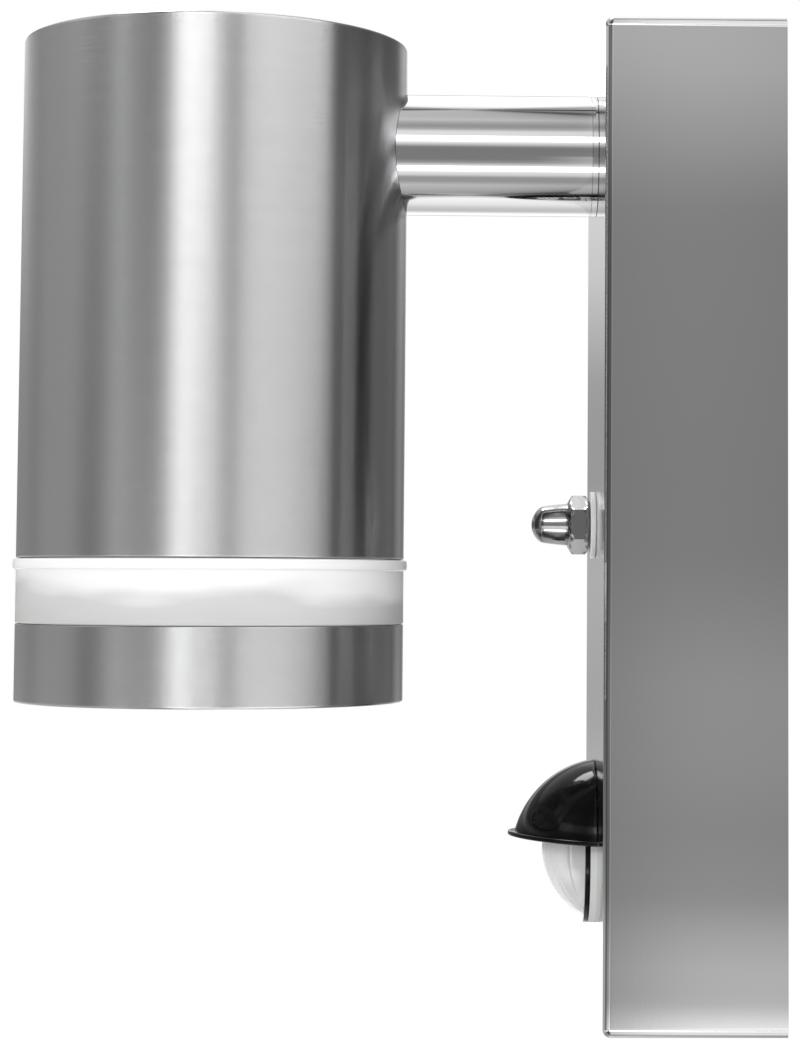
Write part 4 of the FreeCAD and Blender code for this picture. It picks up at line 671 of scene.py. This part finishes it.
# %% Tube and end ring
OUTSIDE, INSIDE, WALL, TUBE_STEPS = 30, 29, 1, 256
TUBE_FOOT, TUBE_TOP, RING_FOOT, RING_TOP, RING_LIP = -5.6, 75, -27.7, -15.7, 24.6

tube = [
    (INSIDE, TUBE_FOOT), (OUTSIDE, TUBE_FOOT), (OUTSIDE, TUBE_TOP), (0, TUBE_TOP),
    (0, TUBE_TOP - WALL), (INSIDE, TUBE_TOP - WALL),
]
ring = [
    (RING_LIP, RING_FOOT), (OUTSIDE, RING_FOOT), (OUTSIDE, RING_TOP), (INSIDE, RING_TOP),
    (INSIDE, RING_FOOT + WALL), (RING_LIP, RING_FOOT + WALL),
]
piece("lamp_tube", lathe(soften(tube, [0.3, 0.3, 0.5, 0, 0, 0.4]), steps=TUBE_STEPS))
piece("end_ring", lathe(soften(ring, [0.3, 0.4, 0.12, 0.12, 0.3, 0.3]), steps=TUBE_STEPS))

# %% [markdown]
# ## The clear ring
#
# Between tube and end ring sits a moulding of frosted polycarbonate that lets a band of light
# out sideways. It has a flange that overhangs the tube, a band flush with it, a skirt that
# holds the end ring and a threaded spigot that screws up into the tube. Its inside is not
# straight: the wall thins towards the lower edge in a shallow hollow, which bends what you see
# through it.

# %% Clear ring, its thread and the insert
CAP_PITCH, ROWS_PER_PITCH = 2.0, 10


def thread(radius, depth, pitch, low, high, line=LAMP_LINE, steps=96, inward=False):
    """Screw thread with r = radius -/+ depth * w(t / pitch - u / turn), faded at both ends.

    w is a rounded wave from 0 to 1, (1 - cos) / 2 raised to 0.7.
    """
    u = whole_turn(steps)
    t = np.linspace(low, high, int((high - low) / pitch * ROWS_PER_PITCH) + 2)[:, None]
    fade = np.clip(np.minimum(t - low, high - t) / pitch, 0, 1)
    wave = ((1 - np.cos(TURN * (t / pitch - u / TURN))) / 2) ** 0.7
    return polar(radius + (1 if inward else -1) * depth * wave * fade, u, t, line)


piece("diffuser_ring", stacked(thread(26.9, 0.7, CAP_PITCH, -2.4, 3.5)[::-1], turned([
    (26.9, -5.2), (27.1, -5.6), (30.1, -5.7), (30.42, -5.85), (30.5, -6.2), (30.5, -6.9),
    (30.42, -7.2), (30.1, -7.35), (30.0, -7.5), (30.0, -11.5), (30.0, -15.4), (29.85, -15.6),
    (29.05, -15.62), (28.95, -15.8), (28.95, -22.4), (28.7, -22.7), (27.5, -22.7), (27.3, -22.4),
    (27.3, -16.5), (26.9, -14.5), (26.2, -12.0), (25.9, -9.0), (25.75, -6.0), (25.75, 3.5), (26.0, 3.8),
    (26.6, 3.8),
])))
piece("thread_insert", stacked(thread(27.25, 0.6, CAP_PITCH, -2.3, 6.4, inward=True), turned([
    (27.4, 6.5), (28.0, 6.6), (28.8, 6.6), (28.95, 6.4), (28.95, -2.2), (28.8, -2.4), (28.0, -2.4),
])))

# %% [markdown]
# ## Front glass and its gasket
#
# A flat disc with ground edges on a flat rubber ring. The grinding shows as a narrow slope
# round both faces, wide enough to see from below.

# %% Front glass and gasket
GLASS_FOOT, GLASS_TOP, GLASS_RADIUS, GROUND = -25.7, -22.7, 28.7, 0.5
glass = [
    (0, GLASS_FOOT), (GLASS_RADIUS - GROUND, GLASS_FOOT), (GLASS_RADIUS, GLASS_FOOT + GROUND),
    (GLASS_RADIUS, GLASS_TOP - GROUND), (GLASS_RADIUS - GROUND, GLASS_TOP), (0, GLASS_TOP),
]
piece("front_glass", lathe(soften(glass, 0.12), steps=160))
piece("glass_gasket", flat_ring(25.5, GLASS_RADIUS, RING_FOOT + WALL, GLASS_FOOT, 0.3, steps=128))

# %% [markdown]
# ## The arm
#
# The arm is a polished tube whose end is notched to fit round the lamp tube: welders call it
# coped. A Boolean would cut it, but leaves ragged triangles where two round surfaces meet at a
# flat angle. The cut has a formula instead. At a side offset x the lamp tube's skin lies at
# depth 87 - sqrt(R^2 - x^2), so each line along the arm simply ends there.

# %% Arm and seal
ARM_OUTSIDE, ARM_INSIDE, ARM_STEPS = 9.5, 8.3, 160
COPE_RADIUS, LAMP_REACH, PLATE, ARM_START, SEAM = 30.03, 87, 27.0, 27.02, 27.95


def coped(radius, rows, start):
    """Skin of the arm: (r cos u, start + v (cope(r cos u) - start), r sin u)."""
    u = whole_turn(ARM_STEPS)
    v = np.linspace(0, 1, rows)[:, None]
    end = LAMP_REACH - np.sqrt(COPE_RADIUS**2 - (radius * np.cos(u)) ** 2)
    return polar(radius, u, start + v * (end - start), ARM_LINE)


arm_foot = turned([
    (9.44, ARM_START), (ARM_OUTSIDE, ARM_START + 0.06), (ARM_OUTSIDE, SEAM - 0.06),
    (9.44, SEAM - 0.02), (9.44, SEAM + 0.02),
], ARM_LINE, ARM_STEPS)
piece("arm_tube", stacked(
    arm_foot, coped(ARM_OUTSIDE, 24, SEAM + 0.06), coped(ARM_INSIDE, 12, ARM_START + 0.3)[::-1],
    turned([(8.5, ARM_START)], ARM_LINE, ARM_STEPS),
))
piece("arm_seal", flat_ring(5.3, 8.2, PLATE, 27.3, 0.1, ARM_LINE))

# %% [markdown]
# ## Hexagons
#
# A nut is a hexagon whose corners are turned off to a cone, so its radius is the smaller of two
# formulas: the hexagon's, which is flats / 2 / cos of the angle from the middle of a flat, and
# the cone's, which grows away from the end face. The acorn nut goes on from there as a neck
# and a dome on the same grid.

# %% Acorn nut and washer
NUT_STEPS, CONE_SLOPE = 120, 1.7


def hexagonal(flats, u):
    """Radius of a hexagon: half its flats over cos of the angle from the nearest flat's middle."""
    return flats / 2 / np.cos((u + TURN / 12) % (TURN / 6) - TURN / 12)


def hexagon_rows(flats, start, end, line, face=0.97):
    """Rows of a nut along its line, its corners turned off at both ends."""
    u = whole_turn(NUT_STEPS)
    t = (start + (end - start) * np.sin(np.linspace(0, TURN / 4, 14)) ** 2)[:, None]
    cone = flats / 2 * face + CONE_SLOPE * np.minimum(t - start, end - t)
    return polar(np.minimum(hexagonal(flats, u), cone), u, t, line)


def nut(flats, bore, start, end, line, pitch):
    """A whole nut: hexagon outside, thread inside."""
    inside = thread(bore, bore * 0.08, pitch, start + 0.2, end - 0.2, line, NUT_STEPS, inward=True)
    return stacked(hexagon_rows(flats, start, end, line), inside[::-1])


NUT_SEAT, NUT_FACE, NUT_TIP, DOME_RADIUS, DOME_RISE = 27.85, 31.35, 37.0, 2.85, 1.6
DOME_BOW = (DOME_RADIUS**2 / DOME_RISE + DOME_RISE) / 2
curve = DOME_RADIUS * np.sin(np.linspace(TURN / 4, 0, 16)[2:])
dome = [(r, NUT_TIP - DOME_BOW + math.sqrt(DOME_BOW**2 - r**2)) for r in curve]
nut_inside = turned([
    (0, 34.75), (2.2, 34.7), (2.55, 34.45), (2.55, 28.4), (2.9, 27.9),
], NUT_LINE, NUT_STEPS)
nut_outside = turned([
    (3.38, NUT_FACE + 0.03), (3.34, NUT_FACE + 0.15), (3.28, 31.8), (3.18, 33.0), (3.04, 34.2),
    (2.95, 34.8), (2.9, 35.1), (2.86, 35.32), *dome,
], NUT_LINE, NUT_STEPS)
nut_hexagon = hexagon_rows(8, NUT_SEAT, NUT_FACE, NUT_LINE, face=0.88)
piece("cap_nut", stacked(nut_inside, nut_hexagon, nut_outside, open_ended=True))
piece("sealing_washer", flat_ring(2.7, 5.2, PLATE, NUT_SEAT, 0.2, NUT_LINE))

# %% [markdown]
# ## The hood over the sensor
#
# The hood is half of a turned shell, cut by a plane that climbs to the front. Modelled with a
# Boolean it would need clean-up at the tip. Here each depth d has its own arc: it starts and
# ends where the shell's radius meets the plane, and at the tip the arc has shrunk to nothing.
# A second skin inside and a strip round the edge close it.

# %% Hood shell
HOOD_CENTRE, HOOD_DROP, HOOD_START, SHOULDER = 24.7, 1.5, 27.06, 0.15
RIM_RISE, RIM_SLOPE = 1.15, math.tan(math.radians(2.5))
HOOD_RADIUS, HOOD_WALL, LIP_REACH, LIP_HEIGHT = 15.2, 1.2, 0.9, 0.8


def hood_radius(radius, depth, shoulder=0.0):
    """Radius of the shell about the sensor's axis: sqrt(R^2 - (d - centre)^2) - drop.

    A shoulder takes s (1 - sqrt(1 - k^2)) off the rear corner, k from 1 to 0 over its length s.
    """
    ahead = np.maximum(depth, HOOD_START + shoulder)
    ball = np.sqrt(np.maximum(radius**2 - (ahead - HOOD_CENTRE) ** 2, 0)) - HOOD_DROP
    k = np.clip((HOOD_START + shoulder - depth) / max(shoulder, 1e-6), 0, 1)
    return ball - shoulder * (1 - np.sqrt(1 - k**2))


def rim_height(depth):
    """Height of the cutting plane above the sensor's axis."""
    return RIM_RISE + RIM_SLOPE * (depth - PLATE)


def tip_of(radius):
    """Depth at which the shell's radius has fallen to the plane's height."""
    depth = np.linspace(HOOD_START, HOOD_CENTRE + radius, 4000)
    return depth[np.argmin(np.abs(hood_radius(radius, depth) - rim_height(depth)))]


def hood_skin(radius, shoulder=0.0, rows=48, columns=96):
    """Arc at each depth: angle a0 + s (180 degrees - 2 a0), with sin a0 = plane / shell radius."""
    tip, bend = tip_of(radius), HOOD_START + SHOULDER
    turn = np.linspace(0, TURN / 4, rows)
    rear, front = bend - SHOULDER * np.cos(turn[:-1:4]), bend + (tip - bend) * np.sin(turn)
    depth = np.concatenate([rear, front])[:, None]
    s = np.linspace(0, 1, columns)[None, :]
    r = hood_radius(radius, depth, shoulder)
    first = np.arcsin(np.clip(rim_height(depth) / np.maximum(r, 1e-6), -1, 1))
    return polar(r, first + s * (math.pi - 2 * first), depth, SENSOR_LINE)


def shell(outside, inside):
    """Two skins of equal size joined round all four edges."""
    pairs = [
        (outside[0], inside[0]), (outside[-1], inside[-1]),
        (outside[:, 0], inside[:, 0]), (outside[:, -1], inside[:, -1]),
    ]
    return joined(grid(outside), grid(inside), *[grid(np.stack(pair)) for pair in pairs])


def rim_curve(radius, turn):
    """Edge of a shell on the cutting plane, from one side round the tip to the other."""
    tip = tip_of(radius)
    depth = HOOD_START + (tip - HOOD_START) * np.cos(turn)
    half = np.sqrt(np.maximum(hood_radius(radius, depth) ** 2 - rim_height(depth) ** 2, 0))
    return np.stack([np.sign(turn) * half, -depth, SENSOR_HEIGHT + rim_height(depth)], -1)


around = np.linspace(-TURN / 4, TURN / 4, 161)
inner_rim, outer_rim = (rim_curve(r, around) for r in (HOOD_RADIUS - HOOD_WALL, HOOD_RADIUS + LIP_REACH))
section = soften([(0.001, 0), (1, 0), (1, 1), (0.001, 1)], [0.08, 0.3, 0.3, 0.08])
rim_up = np.array([0, RIM_SLOPE, 1]) / math.hypot(RIM_SLOPE, 1) * LIP_HEIGHT
lip = (
    inner_rim[:, None] + (outer_rim - inner_rim)[:, None] * section[None, :, :1]
    + section[None, :, 1:] * rim_up
)
lip_ends = [
    grid(np.stack([end, np.broadcast_to(end.mean(0), end.shape)]), False, True) for end in (lip[0], lip[-1])
]
bezel = [(9, 21.6), (10.5, 21.6), (10.5, 28), (11.7, 28), (11.7, 28.8), (9, 28.8)]
piece(
    "sensor_hood", shell(hood_skin(HOOD_RADIUS, SHOULDER), hood_skin(HOOD_RADIUS - HOOD_WALL)),
    grid(lip, False, True), *lip_ends, lathe(soften(bezel), SENSOR_LINE, 128),
)

# %% [markdown]
# ## The lens
#
# A motion sensor's dome is thin milky plastic, moulded as a patchwork of small lenses. Their
# borders show as faint lines that run from top to bottom and round. On a sphere described by
# an angle round the vertical and an angle up, those borders are simply steps in the radius at
# regular angles.

# %% Lens
LENS_CENTRE, LENS_RADIUS, LENS_WALL, LENS_SEAT = 23.1, 12.0, 0.8, 28.8
BORDERS_ROUND, BORDERS_UP = np.radians(np.arange(-80, 81, 16)), np.radians([-46, 24])
BORDER_DEPTH, BORDER_WIDTH = 0.08, 0.02


def lens_skin(radius, groove, rows=120, columns=180):
    """Point at angles p round and q up: centre + r (sin p cos q, cos p cos q, sin q).

    r dips by groove at each border, and p is clipped where the sphere meets the seat.
    """
    reach = (LENS_SEAT - LENS_CENTRE) / radius
    top = math.acos(reach) * 0.9995
    q = np.linspace(-top, top, rows)[:, None]
    p = np.linspace(-1, 1, columns)[None, :] * np.arccos(np.clip(reach / np.cos(q), -1, 1))
    dip = np.exp(-((p[..., None] - BORDERS_ROUND) / BORDER_WIDTH) ** 2).sum(-1)
    dip = dip + np.exp(-((q[..., None] - BORDERS_UP) / BORDER_WIDTH) ** 2).sum(-1)
    r = radius - groove * np.minimum(dip, 1)
    out_of_centre = r * np.cos(p) * np.cos(q)
    return stand(r * np.sin(p) * np.cos(q), r * np.sin(q), LENS_CENTRE + out_of_centre, SENSOR_LINE)


skirt = [(8.1, 26.5), (8.9, 26.5), (8.9, 28.75), (10.5, 28.85), (9.9, 29.5), (8.1, 29.5)]
piece(
    "sensor_lens", shell(lens_skin(LENS_RADIUS, BORDER_DEPTH), lens_skin(LENS_RADIUS - LENS_WALL, 0)),
    lathe(soften(skirt, 0.15), SENSOR_LINE),
)

# %% [markdown]
# ## Threads and nuts inside
#
# The stud that carries the case, the hollow nipple inside the arm and the nuts on both are
# plated steel. A thread is one more function of two parameters: going round lifts the wave by
# one pitch, so the ridges climb.

# %% Stud, nipple and nuts
STUD_PITCH, STUD_STEPS, NIPPLE_PITCH, NIPPLE_STEPS = 0.8, 60, 1.0, 72
stud_head = [(0, 2.15), (3.9, 2.1), (4.35, 2.2), (4.5, 2.5), (4.5, 4.8), (4.3, 5.0), (2.6, 5.0)]
stud_end = [(2.3, 34.2), (2.0, 34.35), (0, 34.35)]
piece("bracket_stud", stacked(
    turned(stud_head, NUT_LINE, STUD_STEPS),
    thread(2.5, 0.36, STUD_PITCH, 5.3, 34.0, NUT_LINE, STUD_STEPS),
    turned(stud_end, NUT_LINE, STUD_STEPS), open_ended=True,
))
piece("stud_nut", nut(8, 2.5, 6.5, 10.5, NUT_LINE, STUD_PITCH))

nipple_bore = [(4.5, 66.4), (3.9, 66.4), (3.7, 66.2), (3.7, 19.7), (3.9, 19.5), (4.5, 19.5)]
piece("arm_nipple", stacked(
    thread(5.0, 0.45, NIPPLE_PITCH, 19.6, 66.3, ARM_LINE, NIPPLE_STEPS),
    turned(nipple_bore, ARM_LINE, NIPPLE_STEPS),
))
for name, start in (("arm_nut", 21.5), ("arm_tube_nut", 61.4)):
    piece(name, nut(14, 5.0, start, start + 3, ARM_LINE, NIPPLE_PITCH))

# %% [markdown]
# ## A toothed washer
#
# The washer under the arm's nut bites through oxide to earth the case. Its teeth are gaps cut
# in from the rim, each tooth twisted a little out of flat. Both come from one wave round the
# ring: the rim's radius drops where the wave is low, and the tooth's height leans with it.

# %% Toothed washer
TEETH, STEPS_PER_TOOTH, ROOT, WASHER_MIDDLE, LEAN = 16, 24, 6.95, 25.75, 0.35
teeth_turn = whole_turn(TEETH * STEPS_PER_TOOTH)
phase = (teeth_turn * TEETH / TURN) % 1
tooth = 1 / (1 + np.exp((phase - 0.72) * 60)) * (1 / (1 + np.exp((0.06 - phase) * 60)))
lean = (phase - 0.39) * tooth
# Radius, height, whether the teeth are cut there, and how much of the lean it has.
radius, height, cut, tilt = np.array([
    (5.2, -0.2, 0, 0), (6.9, -0.2, 0, 0), (7.2, -0.2, 1, 0.15), (9.0, -0.16, 1, 0.8),
    (9.0, 0.16, 1, 0.8), (7.2, 0.2, 1, 0.15), (6.9, 0.2, 0, 0), (5.2, 0.2, 0, 0),
]).T[..., None]
washer_r = np.where(cut, ROOT + (radius - ROOT) * tooth, radius)
piece("arm_lockwasher", stacked(
    polar(washer_r, teeth_turn, WASHER_MIDDLE + height + tilt * lean * LEAN, ARM_LINE),
))

# %% [markdown]
# ## Screw heads and knobs
#
# From behind, the sensor's cover shows four screws and the two knobs that set time and
# daylight. A head is a height over a disc: a low dome, minus a recess. The cross recess is deep
# where both the smaller of |x| and |y| lies inside the arm's width and the larger inside its
# length. A knob has one slot, wider at the end that points.

# %% Screws and knobs


def smooth(value):
    """0 below 0, 1 above 1, and 3v^2 - 2v^3 between."""
    value = np.clip(value, 0, 1)
    return value * value * (3 - 2 * value)


def cross_recess(x, y, radius):
    small, large = np.minimum(np.abs(x), np.abs(y)), np.maximum(np.abs(x), np.abs(y))
    width = smooth((0.17 * radius - small) / (0.07 * radius))
    return width * smooth((0.62 * radius - large) / (0.22 * radius))


def slot_recess(x, y, radius):
    width = 0.15 + 0.07 * smooth(y / radius)
    return smooth((width * radius - np.abs(x)) / (0.04 * radius))


def headed(radius, rise, face, line, recess, depth, stem, rows=40, columns=96):
    """A head that faces the wall: place = face - dome(r) + recess(x, y), then rows of the stem."""
    u = whole_turn(columns)
    r = (radius * np.sin(np.linspace(0, TURN / 4, rows)))[:, None]
    top = face - rise * (1 - 0.45 * (r / radius) ** 4)
    top = top + depth * recess(r * np.cos(u), r * np.sin(u), radius)
    return stacked(polar(r, u, top, line), turned(stem, line, columns), open_ended=True)


COVER_BACK, SCREW_REACH, KNOB_BACK, KNOB_HEIGHT = 8.5, 19.6, 7.98, -59
SCREW_STEM = [(2.2, COVER_BACK), (1.1, COVER_BACK), (1.1, 15.0), (0.6, 15.4), (0, 15.4)]
KNOB_STEM = [(3.0, 8.2), (3.0, 13.2), (2.8, 13.4), (1.5, 13.4), (1.5, 16.4), (1.3, 16.6), (0, 16.6)]
piece("cover_screws", *[
    headed(2.2, 1.1, COVER_BACK, ("out", (x, SENSOR_HEIGHT + z)), cross_recess, 0.8, SCREW_STEM)
    for x in (-SCREW_REACH, SCREW_REACH) for z in (-SCREW_REACH, SCREW_REACH)
])
for knob, x in (("time_trimmer", -9), ("lux_trimmer", 9)):
    line = ("out", (x, KNOB_HEIGHT))
    piece(knob, headed(3.0, 0.6, KNOB_BACK, line, slot_recess, 0.9, KNOB_STEM, rows=48, columns=128))

# %% [markdown]
# ## The lamp
#
# Seen from below, the reflector lamp sits behind the front glass: a pressed shell, silvered
# inside in small facets that break up the beam, a clear front with a fine pattern, and a
# capsule in the middle. The facets are a product of two rounded waves, one round the bowl and
# one down it, so they grow with the bowl's radius.

# %% Lamp shell, front and capsule
LAMP_STEPS, BOWL_ROWS, SKIN_ROWS = 288, 72, 48
FACETS_ROUND, FACETS_DOWN, FACET_DEPTH = 32, 9, 0.35
RIBS, RIB_DEPTH, LENS_FACE = 24, 0.198, -12.1
BOWL = [(22.6, -12.0), (22.9, -9.4), (22.2, -4.0), (20.2, 4.0), (17.6, 11.0), (14.6, 16.0), (11, 18.4)]
SKIN = [(16.9, 19.9), (18.6, 17.0), (20.8, 11.0), (23.0, 3.5), (24.4, -4.0), (24.95, -9.0), (25, -10.2)]


def along_profile(outline, steps):
    """Evenly spaced radii and places on a smooth curve through an outline, by cubic interpolation."""
    points = np.array(outline)
    knots = np.linspace(0, 1, len(points))
    where = np.linspace(0, 1, steps)
    slope = np.gradient(points, knots, axis=0)
    cell = np.clip(np.searchsorted(knots, where, "right") - 1, 0, len(points) - 2)
    span = knots[1]
    f = ((where - knots[cell]) / span)[:, None]
    p0, p1, m0, m1 = points[cell], points[cell + 1], slope[cell] * span, slope[cell + 1] * span
    smoothed = (
        (2 * f**3 - 3 * f**2 + 1) * p0 + (f**3 - 2 * f**2 + f) * m0
        + (3 * f**2 - 2 * f**3) * p1 + (f**3 - f**2) * m1
    )
    return smoothed[:, :1], smoothed[:, 1:]


lamp_turn = whole_turn(LAMP_STEPS)
bowl_r, bowl_t = along_profile(BOWL, BOWL_ROWS)
down = np.linspace(0, 1, BOWL_ROWS)[:, None]
facet_round = np.abs(np.cos(lamp_turn * FACETS_ROUND / 2)) ** 0.8
facet_down = np.abs(np.cos(down * FACETS_DOWN * math.pi)) ** 0.8
bowl = polar(bowl_r + FACET_DEPTH * facet_round * facet_down, lamp_turn, bowl_t)

skin_r, skin_t = along_profile(SKIN, SKIN_ROWS)
first, last = down[:SKIN_ROWS], 1 - np.linspace(0, 1, SKIN_ROWS)[:, None]
ribs = np.abs(np.cos(lamp_turn * RIBS / 2)) ** 6 * smooth(first * 3) * smooth(last * 3)
skin = polar(skin_r + RIB_DEPTH * ribs, lamp_turn, skin_t)
crown = [(0, 20.0), (16.5, 20.0)]
rim = [(25.0, -13.6), (24.8, -14.0), (23.3, -14.0), (23.05, -13.8), (23.05, -12.0)]
throat = [(10.8, 18.6), (0, 18.9)]
crown, rim, throat = (turned(rows, steps=LAMP_STEPS) for rows in (crown, rim, throat))
piece("lamp_shell", stacked(crown, skin, rim, bowl, throat, open_ended=True))

lens_r = np.linspace(0, 22.8, 77)[:, None]
ripple = 0.14 * np.cos(lens_r * TURN / 1.9) * np.cos(lamp_turn * 36)
ripple = ripple * smooth(lens_r / 5) * smooth((22.4 - lens_r) / 1.5)
lens_edge = turned([(22.94, -12.3), (22.94, -13.8), (22.7, -14.0), (0, -14.0)], steps=LAMP_STEPS)
piece("lamp_lens", stacked(polar(lens_r, lamp_turn, LENS_FACE + ripple), lens_edge, open_ended=True))

capsule = [
    (0, -3.5), (1.2, -3.3), (2.4, -2.4), (3.9, -0.6), (4.5, 1.6), (4.5, 12.0), (4.2, 13.4), (4.2, 17.4),
    (0, 17.4),
]
collar = [(0, 15.2), (6.6, 15.2), (7.4, 16.2), (7.4, 18.6), (0, 18.6)]
piece("lamp_capsule", lathe(soften(capsule, 0.8), steps=64), look="lamp_glass", body="lamp")
piece("lamp_collar", lathe(soften(collar, 0.4)), look="ceramic", body="lamp")

# %% [markdown]
# ## The case keeps its solid, and gains a grain
#
# The case is a folded box of brushed sheet, and its CAD solid already has the bends, the holes
# and the wall. What it lacks is a direction: on a folded box the grain runs down the front and
# sides and on over the ends. A copy of the solid gets a UV map with v along that grain,
# worked out from which way each face looks.

# %% Case
LOOKS_UP = 0.7


def read_out(items, label, width, kind=float):
    """One property of all of a mesh's items as an array with a column for each number."""
    values = np.empty(len(items) * width, kind)
    items.foreach_get(label, values)
    return values.reshape(-1, width)


def add_grain(mesh):
    """Give a mesh a UV map: u across the grain and v along it.

    Sides: u = x + y and v = z. Ends, which look up or down: u = x and v = y.
    """
    corner = read_out(mesh.loops, "vertex_index", 1, np.int32)[:, 0]
    x, y, z = read_out(mesh.vertices, "co", 3)[corner].T
    sides = read_out(mesh.polygons, "loop_total", 1, np.int32)[:, 0]
    is_end = np.repeat(np.abs(read_out(mesh.polygons, "normal", 3)[:, 2]) > LOOKS_UP, sides)
    grain = np.stack([np.where(is_end, x, x + y), np.where(is_end, y, z)], -1)
    layer = mesh.uv_layers.active or mesh.uv_layers.new(name="grain")
    layer.data.foreach_set("uv", grain.ravel().astype(np.float32))
    return mesh


case_mesh = merged(frame["nodes"]["case"].data.copy(), from_grids=False)
case_mesh.name = "case"
settle("case", add_grain(case_mesh))
